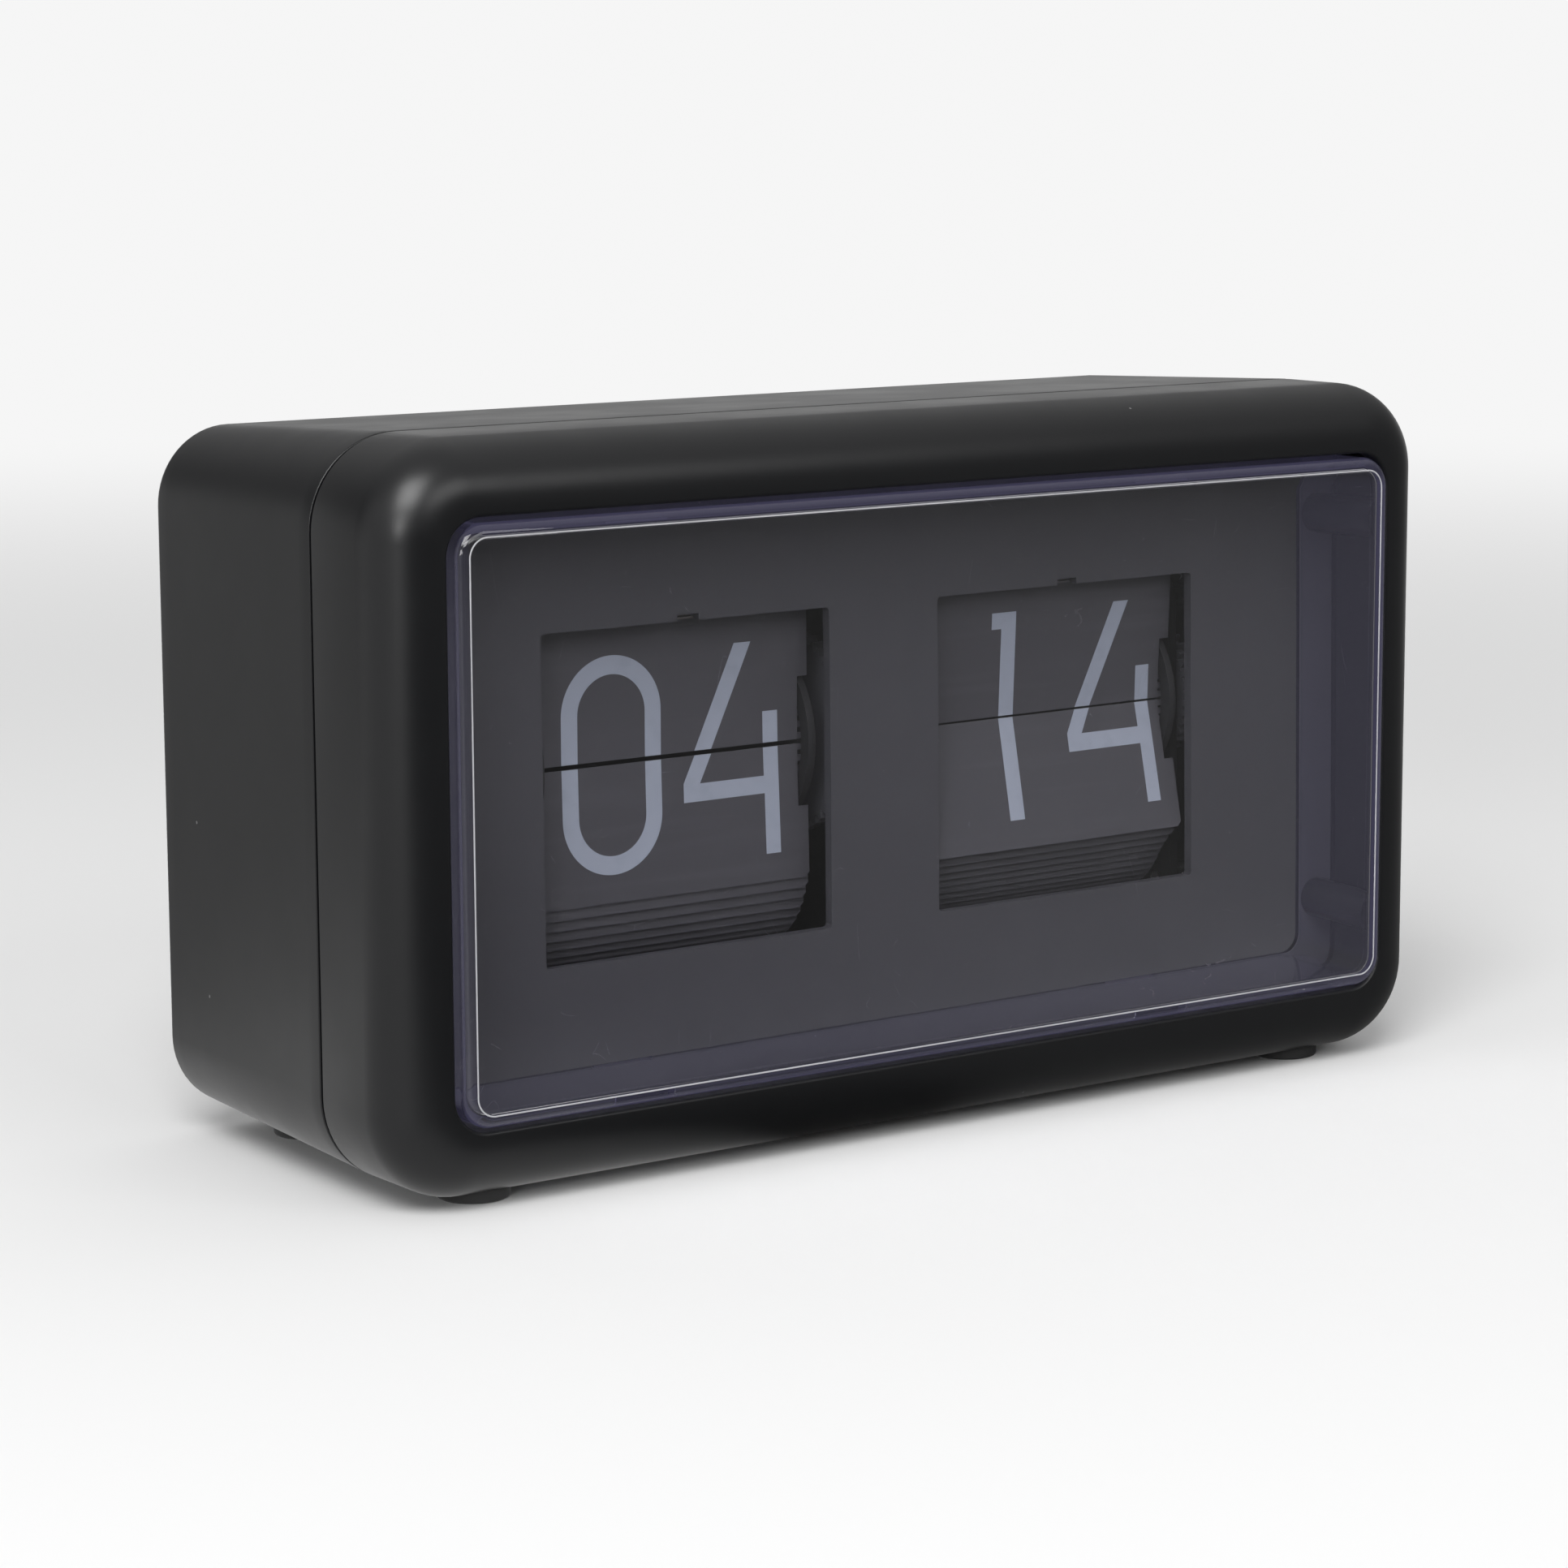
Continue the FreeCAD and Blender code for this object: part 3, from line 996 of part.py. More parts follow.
# ================================================================ assembly
def build():
    """Every node by name."""
    minute_flip, minute_trailing, minute_hanging = leaf_set(
        DRUM_X, MINUTE_LEAVES, MINUTE_UPPER_LEAN, MINUTE_LOWER_LEANS)
    hour_flip, hour_trailing, hour_hanging = leaf_set(
        -DRUM_X, HOUR_LEAVES, HOUR_UPPER_LEAN, HOUR_LOWER_LEANS)
    return {
        "front_bezel": front_bezel(),
        "back_shell": back_shell(),
        "lens": lens(),
        "dial_panel": dial_panel(),
        "front_feet": front_feet(),
        "rear_feet": rear_feet(),
        "case_screws": case_screws(),
        "hour_holding_finger": holding_finger(-DRUM_X),
        "minute_holding_finger": holding_finger(DRUM_X),
        "movement_base": movement_base(),
        "base_screws": base_screws(),
        "left_side_plate": left_side_plate(),
        "centre_plate": centre_plate(),
        "right_side_plate": right_side_plate(),
        "outer_plate": outer_plate(),
        "plate_pillars": pillars(),
        "pillar_screws": pillar_screws(),
        "spindle": spindle(),
        "spindle_clips": spindle_clips(),
        "hour_drum_hub": drum_hub(-DRUM_END, -CENTRE_GEAR_OFFSET),
        "hour_left_disc": drum_disc(-DRUM_X, -1, HOUR_LEAVES),
        "hour_right_disc": drum_disc(-DRUM_X, 1, HOUR_LEAVES),
        "hour_gear": hour_gear(),
        "minute_drum_hub": minute_hub(),
        "minute_left_disc": drum_disc(DRUM_X, -1, MINUTE_LEAVES),
        "minute_right_disc": drum_disc(DRUM_X, 1, MINUTE_LEAVES),
        "minute_carry_gear": minute_carry_gear(),
        "minute_drive_gear": drive_gear(),
        "carry_wheel": carry_wheel(),
        "carry_pinion": carry_pinion(),
        "carry_shaft": carry_shaft(),
        "idler_gear": idler_gear(),
        "idler_shaft": idler_shaft(),
        "setting_gear": setting_gear(),
        "setting_shaft": setting_shaft(),
        "setting_wheel": setting_wheel(),
        "drive_motor": drive_motor(),
        "motor_shaft": motor_shaft(),
        "motor_pinion": motor_pinion(),
        "motor_screws": motor_screws(),
        "hour_flip_leaf": hour_flip,
        "hour_trailing_leaves": hour_trailing,
        "hour_hanging_leaves": hour_hanging,
        "minute_flip_leaf": minute_flip,
        "minute_trailing_leaves": minute_trailing,
        "minute_hanging_leaves": minute_hanging,
        "battery": battery(),
        "battery_cradle": battery_cradle(),
        "negative_spring": negative_spring(),
        "positive_contact": positive_contact(),
        "battery_door": battery_door(),
        "circuit_board": circuit_board(),
        "board_components": board_components(),
    }


def main():
    """Write one STEP file per node."""
    os.makedirs("parts", exist_ok=True)
    nodes = build()
    for name, shape in nodes.items():
        shape.exportStep("parts/" + name + ".step")
        box = shape.BoundBox
        print(f"{name}: {len(shape.Solids)} solid(s), valid {shape.isValid()}, {shape.Volume:.1f} mm3, "
              f"x {box.XMin:.1f}..{box.XMax:.1f} y {box.YMin:.1f}..{box.YMax:.1f} "
              f"z {box.ZMin:.1f}..{box.ZMax:.1f}")


main()
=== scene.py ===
"""Flip number clock: the finished look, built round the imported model.

Sizes are in millimetres and meshes in metres, in the model's own frame: +Z up, -Y out of the
clock's front, +X to the right of a person facing the front. The case shells, the lens, the feet and
the printed numerals are new surfaces; the other pieces keep their own solids and get a finish.
"""

import json
import logging
import math
from dataclasses import dataclass
from enum import Enum

import bmesh
import bpy
import numpy as np
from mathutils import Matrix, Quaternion, Vector

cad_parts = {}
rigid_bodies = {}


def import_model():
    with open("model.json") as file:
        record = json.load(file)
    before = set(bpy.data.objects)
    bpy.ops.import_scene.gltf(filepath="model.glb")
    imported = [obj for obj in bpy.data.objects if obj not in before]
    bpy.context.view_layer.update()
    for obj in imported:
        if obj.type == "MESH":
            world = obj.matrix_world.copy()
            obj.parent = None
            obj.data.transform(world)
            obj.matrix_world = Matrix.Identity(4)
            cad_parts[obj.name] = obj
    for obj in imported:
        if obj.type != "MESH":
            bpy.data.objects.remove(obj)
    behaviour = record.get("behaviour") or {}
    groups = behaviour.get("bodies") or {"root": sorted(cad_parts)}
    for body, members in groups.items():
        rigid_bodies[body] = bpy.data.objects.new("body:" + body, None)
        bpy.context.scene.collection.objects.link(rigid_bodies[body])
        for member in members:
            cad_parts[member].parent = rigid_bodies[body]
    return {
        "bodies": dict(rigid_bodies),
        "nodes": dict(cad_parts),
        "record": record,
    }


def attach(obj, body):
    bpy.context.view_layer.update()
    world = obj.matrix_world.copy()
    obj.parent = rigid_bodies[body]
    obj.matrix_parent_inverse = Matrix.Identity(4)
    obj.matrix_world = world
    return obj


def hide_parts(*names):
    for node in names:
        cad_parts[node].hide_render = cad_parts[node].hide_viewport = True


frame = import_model()

MM = 0.001
LOG = logging.getLogger("flip_clock")

Socket = bpy.types.NodeSocket
Colour = tuple[float, float, float]
SPECK: Colour = (0.11, 0.11, 0.11)


class Body(Enum):
    """Rigid bodies that new pieces ride on."""

    CASE = "case"
    MINUTE_FLIP = "minute_flip"
    HOUR_FLIP = "hour_flip"


class Slot(Enum):
    """Material slots of the record."""

    CASE = "case_plastic"
    CLEAR = "clear_plastic"
    PANEL = "panel_plastic"
    LEAF = "leaf_plastic"
    RUBBER = "rubber"
    PLATED = "plated_steel"
    SCREW = "screw_steel"
    BRIGHT = "bright_steel"
    SPRING = "spring_steel"
    GEAR = "gear_acetal"
    BLACK_GEAR = "black_acetal"
    MOTOR = "motor_can"
    CELL = "cell_wrap"
    BOARD = "board_laminate"
    COMPONENT = "component_black"


class Half(Enum):
    """Which half of a numeral a leaf face carries."""

    UPPER = 1
    LOWER = -1


class Glyph(Enum):
    """Numerals printed on the leaves."""

    ZERO = "0"
    ONE = "1"
    FOUR = "4"
    FIVE = "5"


# ================================================================ meshes
def finished_object(name: str, points: np.ndarray, faces: list, angle: float = 32.0) -> bpy.types.Object:
    """Makes a linked object from points in millimetres, smooth but for edges sharper than an angle.

    Args:
        name: Name of the piece.
        points: Array (n, 3) in millimetres.
        faces: Index lists, one per face.
        angle: Edges that turn by more degrees than this stay sharp.

    Returns:
        The object, at the origin, with its normals outward.
    """
    mesh = bpy.data.meshes.new(name)
    mesh.from_pydata((np.asarray(points, float) * MM).tolist(), [], faces)
    work = bmesh.new()
    work.from_mesh(mesh)
    bmesh.ops.remove_doubles(work, verts=work.verts, dist=1e-6)
    bmesh.ops.dissolve_degenerate(work, edges=work.edges, dist=1e-7)
    bmesh.ops.recalc_face_normals(work, faces=work.faces)
    work.to_mesh(mesh)
    work.free()
    mesh.validate()
    smooth_by_angle(mesh, angle)
    piece = bpy.data.objects.new(name, mesh)
    bpy.context.scene.collection.objects.link(piece)
    return piece


def smooth_by_angle(mesh: bpy.types.Mesh, angle: float) -> None:
    """Shades a mesh smooth, with edges that turn by more than an angle in degrees left sharp."""
    mesh.shade_smooth()
    mesh.set_sharp_from_angle(angle=math.radians(angle))


def ring_faces(rings: int, around: int, offset: int = 0, closed: bool = False) -> list:
    """Quads between successive rings of equally many points: ring i to ring i + 1, point j to j + 1.

    Args:
        rings: Number of rings.
        around: Points in each ring, which closes on itself.
        offset: Index of the first point.
        closed: Whether the last ring joins the first.

    Returns:
        A list of four-point index lists.
    """
    i = np.arange(rings if closed else rings - 1)[:, None]
    j = np.arange(around)[None, :]
    nxt, following = (j + 1) % around, (i + 1) % rings
    quads = np.stack([i * around + j, i * around + nxt, following * around + nxt,
                      following * around + j], axis=-1)
    return (quads.reshape(-1, 4) + offset).tolist()


def skin_faces(count: int, split: int, around: int) -> list:
    """Faces of a tray: an outside and an inside, each closed by a flat cap, joined at the open rim.

    Args:
        count: Number of rings in all.
        split: Number of rings of the outside; the rest are the inside's.
        around: Points in each ring.

    Returns:
        A list of index lists.
    """
    faces = ring_faces(split, around) + ring_faces(count - split, around, split * around)
    faces.append(list(range((split - 1) * around, split * around)))
    faces.append(list(range(split * around, (split + 1) * around)))
    first, last = np.arange(around), np.arange(around) + (count - 1) * around
    return faces + np.stack([first, last, np.roll(last, -1), np.roll(first, -1)], axis=-1).tolist()


def rounded_rings(stations: np.ndarray, centre: tuple[float, float], corner_steps: int = 16) -> np.ndarray:
    """Rounded rectangles in planes across Y, one per station.

    A point is its corner's centre plus radius times (cos t, sin t), t through a quarter turn.

    Args:
        stations: Array (n, 4) of half width, half height, corner radius and y.
        centre: X and Z of the middle.
        corner_steps: Segments in each corner.

    Returns:
        Array (n, points, 3).
    """
    quarter = np.linspace(0.0, math.pi / 2, corner_steps + 1)
    turn = np.concatenate([quarter + k * math.pi / 2 for k in range(4)])
    side_x = np.repeat([1.0, -1.0, -1.0, 1.0], corner_steps + 1)
    side_z = np.repeat([1.0, 1.0, -1.0, -1.0], corner_steps + 1)
    half_w, half_h, radius, y = (stations[:, k, None] for k in range(4))
    x = centre[0] + side_x * (half_w - radius) + radius * np.cos(turn)
    z = centre[1] + side_z * (half_h - radius) + radius * np.sin(turn)
    return np.stack([x, np.broadcast_to(y, x.shape), z], axis=-1)


def swept(name: str, stations: np.ndarray, centre: tuple[float, float], closed: bool,
          angle: float = 32.0, corner_steps: int = 16) -> bpy.types.Object:
    """A shell carried round a rounded rectangle; open profiles get a flat cap at each end.

    Args:
        name: Name of the piece.
        stations: Array (n, 4) of half width, half height, corner radius and y.
        centre: X and Z of the middle.
        closed: Whether the profile comes back to its start.
        angle: Edges sharper than this stay sharp.
        corner_steps: Segments in each corner.

    Returns:
        The object.
    """
    rings = rounded_rings(stations, centre, corner_steps)
    count, around = rings.shape[:2]
    faces = ring_faces(count, around, closed=closed)
    if not closed:
        faces.append(list(range(around)))
        faces.append(list(range((count - 1) * around, count * around)))
    return finished_object(name, rings.reshape(-1, 3), faces, angle)


def turned(name: str, profile: np.ndarray, centre: tuple[float, float, float], axis: str,
           steps: int = 48, angle: float = 32.0) -> bpy.types.Object:
    """A solid of revolution: each profile point (radius, height) goes round the axis.

    Args:
        name: Name of the piece.
        profile: Array (n, 2) of radius and height along the axis, from axis to axis.
        centre: Where height 0 is.
        axis: "y" or "z".
        steps: Segments round the axis.
        angle: Edges sharper than this stay sharp.

    Returns:
        The object.
    """
    turn = np.linspace(0.0, 2 * math.pi, steps, endpoint=False)
    radius, height = profile[:, 0, None], np.broadcast_to(profile[:, 1, None], (len(profile), steps))
    a, b = radius * np.cos(turn), radius * np.sin(turn)
    rings = np.stack([a, b, height] if axis == "z" else [a, height, b], axis=-1) + np.array(centre)
    return finished_object(name, rings.reshape(-1, 3), ring_faces(len(profile), steps), angle)


def rod(name: str, radius: float, ends: tuple[float, float], centre: tuple[float, float, float],
        axis: str, steps: int) -> bpy.types.Object:
    """A plain cylinder between two heights, used as a boss, a post or a cutter."""
    low, high = ends
    profile = np.array([(0, low), (radius, low), (radius, high), (0, high)], float)
    return turned(name, profile, centre, axis, steps)


def slab(name: str, low: tuple[float, float, float], high: tuple[float, float, float]) -> bpy.types.Object:
    """A box from its lowest to its highest corner, used as a cutter or a rib."""
    corners = np.array([[x, y, z] for x in (low[0], high[0]) for y in (low[1], high[1])
                        for z in (low[2], high[2])])
    faces = [[0, 1, 3, 2], [4, 6, 7, 5], [0, 4, 5, 1], [2, 3, 7, 6], [0, 2, 6, 4], [1, 5, 7, 3]]
    return finished_object(name, corners, faces)


def combined(piece: bpy.types.Object, others: list, operation: str, angle: float = 32.0) -> None:
    """Joins other solids to a piece or cuts them from it, and removes them.

    Args:
        piece: The solid that is kept.
        others: Solids that are used up.
        operation: "UNION" or "DIFFERENCE".
        angle: Edges sharper than this stay sharp afterwards.
    """
    for number, other in enumerate(others):
        step = piece.modifiers.new(f"step_{number}", "BOOLEAN")
        step.operation, step.solver, step.object = operation, "EXACT", other
    bpy.context.view_layer.update()
    shown = piece.evaluated_get(bpy.context.evaluated_depsgraph_get())
    result = bpy.data.meshes.new_from_object(shown)
    piece.modifiers.clear()
    piece.data = result
    result.name = piece.name
    smooth_by_angle(result, angle)
    for other in others:
        mesh = other.data
        bpy.data.objects.remove(other)
        bpy.data.meshes.remove(mesh)


def arc(start: float, end: float, steps: int) -> np.ndarray:
    """Angles in radians from start to end, given in degrees."""
    return np.radians(np.linspace(start, end, steps))


def add_piece(piece: bpy.types.Object, body: Body, finish: bpy.types.Material,
              stands_for: tuple[str, ...] = ()) -> None:
    """Dresses a new piece, attaches it to its body and says which nodes it stands for."""
    piece.data.materials.clear()
    piece.data.materials.append(finish)
    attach(piece, body.value)
    if stands_for:
        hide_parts(*stands_for)
    LOG.info("%s: %d faces on %s", piece.name, len(piece.data.polygons), body.value)


# ================================================================ node helpers
class NodeBook:
    """Short ways to add and join nodes in one tree."""

    def __init__(self, tree: bpy.types.NodeTree) -> None:
        """Keeps the tree."""
        self.tree = tree

    def add(self, kind: str, **values) -> bpy.types.Node:
        """Adds a node; names that are sockets are set or joined, the others are node settings.

        Args:
            kind: Blender's node type.
            **values: Settings, or sockets with "_" for a space and "i0" to "i9" for an index.

        Returns:
            The node.
        """
        node = self.tree.nodes.new(kind)
        for key, value in values.items():
            if hasattr(node, key):
                setattr(node, key, value)
        for key, value in values.items():
            if hasattr(node, key):
                continue
            number = key[1:] if key[0] == "i" and key[1:].isdigit() else None
            target = node.inputs[int(number)] if number else node.inputs[key.replace("_", " ")]
            if isinstance(value, bpy.types.NodeSocket):
                self.tree.links.new(value, target)
            else:
                target.default_value = value
        return node

    def math(self, operation: str, first, second=0.0, clamp: bool = False) -> Socket:
        """One Math node; returns its value."""
        return self.add("ShaderNodeMath", operation=operation, use_clamp=clamp, i0=first,
                        i1=second).outputs[0]

    def line(self, value: Socket, slope: float, start: float) -> Socket:
        """The value times a slope plus a start."""
        return self.add("ShaderNodeMath", operation="MULTIPLY_ADD", i0=value, i1=slope, i2=start).outputs[0]

    def noise(self, vector: Socket, size: float, detail: float = 2.0, roughness: float = 0.5) -> Socket:
        """Noise with features of a size in millimetres; returns 0 to 1."""
        return self.add("ShaderNodeTexNoise", Vector=vector, Scale=1.0 / (size * MM), Detail=detail,
                        Roughness=roughness).outputs["Fac"]

    def stretched(self, vector: Socket, scale: tuple[float, float, float],
                  turn: float = 0.0) -> Socket:
        """Object coordinates turned about Y and stretched; returns a vector."""
        return self.add("ShaderNodeMapping", Vector=vector, Scale=scale,
                        Rotation=(0.0, math.radians(turn), 0.0)).outputs[0]

    def ramp(self, value: Socket, low: float, high: float) -> Socket:
        """0 below low, 1 above high and a smooth rise between."""
        return self.add("ShaderNodeMapRange", interpolation_type="SMOOTHSTEP", Value=value,
                        From_Min=low, From_Max=high).outputs["Result"]

    def mix_colour(self, share: Socket, first, second) -> Socket:
        """Mixes two colours by a share."""
        node = self.add("ShaderNodeMix", data_type="RGBA", i0=share)
        for index, value in ((6, first), (7, second)):
            if isinstance(value, bpy.types.NodeSocket):
                self.tree.links.new(value, node.inputs[index])
            else:
                node.inputs[index].default_value = (*value, 1.0)
        return node.outputs[2]

    def place(self, group: bpy.types.NodeTree, **values) -> bpy.types.Node:
        """Places a shared effect with its own values."""
        node = self.tree.nodes.new("ShaderNodeGroup")
        node.node_tree = group
        for key, value in values.items():
            target = node.inputs[key]
            if isinstance(value, bpy.types.NodeSocket):
                self.tree.links.new(value, target)
            else:
                target.default_value = value
        return node


class Effect:
    """A shared shader node group with named inputs and outputs, built once."""

    name = "effect"
    inputs: dict[str, str] = {}
    outputs: dict[str, str] = {}

    def group(self) -> bpy.types.NodeTree:
        """Returns the group, built the first time it is asked for."""
        known = bpy.data.node_groups.get(self.name)
        if known:
            return known
        tree = bpy.data.node_groups.new(self.name, "ShaderNodeTree")
        for way, sockets in (("INPUT", self.inputs), ("OUTPUT", self.outputs)):
            for label, kind in sockets.items():
                tree.interface.new_socket(label, in_out=way, socket_type=kind)
        book = NodeBook(tree)
        entry, leave = tree.nodes.new("NodeGroupInput"), tree.nodes.new("NodeGroupOutput")
        for label, value in self.nodes(book, entry.outputs).items():
            tree.links.new(value, leave.inputs[label])
        return tree

    def nodes(self, book: NodeBook, given: bpy.types.NodeInputs) -> dict[str, Socket]:
        """Builds the inside and returns a value for each output."""
        raise NotImplementedError


class SatinGrain(Effect):
    """Fine moulded texture: a fast grain for the bump and a slow drift for gloss and colour."""

    name = "satin_grain"
    inputs = {"Vector": "NodeSocketVector", "Frequency": "NodeSocketFloat"}
    outputs = {"Height": "NodeSocketFloat", "Drift": "NodeSocketFloat"}

    def nodes(self, book: NodeBook, given: bpy.types.NodeInputs) -> dict[str, Socket]:
        """Grain is noise at the frequency plus a third of it four times finer; drift is noise at 14 mm."""
        coarse = book.add("ShaderNodeTexNoise", Vector=given["Vector"], Scale=given["Frequency"],
                          Detail=2.0).outputs["Fac"]
        finer = book.math("MULTIPLY", given["Frequency"], 4.0)
        fine = book.add("ShaderNodeTexNoise", Vector=given["Vector"], Scale=finer, Detail=1.0).outputs["Fac"]
        height = book.math("ADD", coarse, book.math("MULTIPLY", fine, 0.33))
        return {"Height": height, "Drift": book.noise(given["Vector"], 14.0, 3.0, 0.6)}


class DustSpecks(Effect):
    """Sparse round specks: Voronoi cells whose own random number is high, near their middle."""

    name = "dust_specks"
    inputs = {"Vector": "NodeSocketVector", "Frequency": "NodeSocketFloat", "Radius": "NodeSocketFloat",
              "Rarity": "NodeSocketFloat"}
    outputs = {"Mask": "NodeSocketFloat"}

    def nodes(self, book: NodeBook, given: bpy.types.NodeInputs) -> dict[str, Socket]:
        """Mask is 1 where the distance to a chosen cell's middle is under the radius."""
        cells = book.add("ShaderNodeTexVoronoi", Vector=given["Vector"], Scale=given["Frequency"])
        chosen = book.add("ShaderNodeSeparateColor", Color=cells.outputs["Color"]).outputs[0]
        picked = book.math("GREATER_THAN", chosen, given["Rarity"])
        size = book.math("MULTIPLY", given["Radius"], chosen)
        near = book.math("LESS_THAN", cells.outputs["Distance"], size)
        return {"Mask": book.math("MULTIPLY", picked, near)}


class HairScratches(Effect):
    """Short fine scratches: thin edges of stretched Voronoi cells, broken up by slow noise."""

    name = "hair_scratches"
    inputs = {"Vector": "NodeSocketVector", "Width": "NodeSocketFloat"}
    outputs = {"Mask": "NodeSocketFloat"}

    def nodes(self, book: NodeBook, given: bpy.types.NodeInputs) -> dict[str, Socket]:
        """Mask is 1 within the width of a cell edge where slow noise is above a half."""
        total = None
        for turn, scale in ((24.0, (60.0, 60.0, 14.0)), (-58.0, (18.0, 60.0, 70.0))):
            bent = book.stretched(given["Vector"], scale, turn)
            wobble = book.add("ShaderNodeTexNoise", Vector=bent, Scale=1.6, Detail=1.0).outputs["Color"]
            moved = book.add("ShaderNodeVectorMath", operation="ADD", i0=bent, i1=wobble).outputs[0]
            edge = book.add("ShaderNodeTexVoronoi", feature="DISTANCE_TO_EDGE", Vector=moved,
                            Scale=1.0).outputs["Distance"]
            line = book.math("LESS_THAN", edge, given["Width"])
            patch = book.ramp(book.noise(given["Vector"], 6.0 + turn / 20.0, 1.0), 0.64, 0.68)
            line = book.math("MULTIPLY", line, patch)
            total = line if total is None else book.math("MAXIMUM", total, line)
        return {"Mask": total}


class DrawnLines(Effect):
    """Fine parallel lines of rolled or ground metal: noise stretched along one way."""

    name = "drawn_lines"
    inputs = {"Vector": "NodeSocketVector", "Stretch": "NodeSocketVector"}
    outputs = {"Height": "NodeSocketFloat", "Drift": "NodeSocketFloat"}

    def nodes(self, book: NodeBook, given: bpy.types.NodeInputs) -> dict[str, Socket]:
        """Height is noise of coordinates times the stretch; drift is noise at 6 mm."""
        long_way = book.add("ShaderNodeVectorMath", operation="MULTIPLY", i0=given["Vector"],
                            i1=given["Stretch"]).outputs[0]
        lines = book.add("ShaderNodeTexNoise", Vector=long_way, Scale=1.0, Detail=3.0).outputs["Fac"]
        return {"Height": lines, "Drift": book.noise(given["Vector"], 6.0, 3.0)}


class StudioLevel(Effect):
    """Brightness of the studio by direction: bright behind and above, and dim in front."""

    name = "studio_level"
    inputs = {"Direction": "NodeSocketVector"}
    outputs = {"Level": "NodeSocketFloat"}

    def nodes(self, book: NodeBook, given: bpy.types.NodeInputs) -> dict[str, Socket]:
        """Level is a least value plus smooth rises towards +Y, +X, +Z and far -X.

        The rise towards +Y is weaker on the left and above the horizon.
        """
        parts = book.add("ShaderNodeSeparateXYZ", Vector=given["Direction"]).outputs
        back = book.math("MULTIPLY", book.ramp(parts[1], 0.0, 0.9), 0.70)
        left_share = book.line(book.ramp(parts[0], -0.6, 0.3), 0.6, 0.4)
        low_share = book.line(book.ramp(parts[2], 0.05, 0.25), -0.8, 1.0)
        back = book.math("MULTIPLY", book.math("MULTIPLY", back, left_share), low_share)
        right = book.math("MULTIPLY", book.ramp(parts[0], -0.05, 0.7), 0.12)
        leftward = book.math("MULTIPLY", parts[0], -1.0)
        far_left = book.math("MULTIPLY", book.ramp(leftward, 0.62, 0.95), 0.6)
        above = book.math("MULTIPLY", book.ramp(parts[2], 0.2, 1.0), 0.5)
        return {"Level": book.math("ADD", book.math("ADD", back, right),
                                   book.math("ADD", book.math("ADD", above, far_left), 0.05))}


# ================================================================ finishes
@dataclass(frozen=True)
class Finish:
    """One procedural material; constants sit on the shader's own sockets."""

    name: str
    colour: Colour
    roughness: float = 0.5
    constants: tuple[tuple[str, float], ...] = ()

    def build(self) -> bpy.types.Material:
        """Makes the material with its shader, or returns it if it is already made.

        Returns:
            The material.
        """
        known = bpy.data.materials.get(self.name)
        if known:
            return known
        material = bpy.data.materials.new(self.name)
        material.use_nodes = True
        book = NodeBook(material.node_tree)
        shader = material.node_tree.nodes["Principled BSDF"]
        shader.inputs["Base Color"].default_value = (*self.colour, 1.0)
        shader.inputs["Roughness"].default_value = self.roughness
        for label, value in self.constants:
            shader.inputs[label].default_value = value
        self.dress(book, shader, book.add("ShaderNodeTexCoord").outputs["Object"])
        material.diffuse_color = (*self.colour, 1.0)
        return material

    def dress(self, book: NodeBook, shader: bpy.types.Node, place: Socket) -> None:
        """Adds the detail of the finish."""
        raise NotImplementedError

    def bump(self, book: NodeBook, shader: bpy.types.Node, height: Socket, strength: float,
             depth: float) -> None:
        """Feeds a height, of a depth in millimetres, to the normal."""
        node = book.add("ShaderNodeBump", Height=height, Strength=strength, Distance=depth * MM)
        book.tree.links.new(node.outputs[0], shader.inputs["Normal"])

    def vary(self, book: NodeBook, shader: bpy.types.Node, mask: Socket, colour: Colour,
             roughness: float) -> None:
        """Goes from the finish's colour and roughness to others where a mask is 1."""
        tint = book.mix_colour(mask, self.colour, colour)
        book.tree.links.new(tint, shader.inputs["Base Color"])
        rough = book.line(mask, roughness - self.roughness, self.roughness)
        book.tree.links.new(rough, shader.inputs["Roughness"])


@dataclass(frozen=True)
class MouldedPlastic(Finish):
    """Satin moulded plastic with fine grain, slow gloss drift and a little dust."""

    grain: float = 0.22
    depth: float = 0.012
    strength: float = 0.3
    shine: Colour = (0.02, 0.02, 0.02)
    shine_roughness: float = 0.4
    dust: float = 0.93

    def dress(self, book: NodeBook, shader: bpy.types.Node, place: Socket) -> None:
        """Grain to the bump, drift and specks to colour and roughness."""
        grain = book.place(SatinGrain().group(), Vector=place, Frequency=1.0 / (self.grain * MM))
        specks = book.place(DustSpecks().group(), Vector=place, Frequency=260.0, Radius=0.06,
                            Rarity=self.dust)
        drift = book.ramp(grain.outputs["Drift"], 0.35, 0.7)
        self.vary(book, shader, drift, self.shine, self.shine_roughness)
        tinted = shader.inputs["Base Color"].links[0].from_socket
        specked = book.mix_colour(specks.outputs["Mask"], tinted, SPECK)
        book.tree.links.new(specked, shader.inputs["Base Color"])
        self.bump(book, shader, grain.outputs["Height"], self.strength, self.depth)


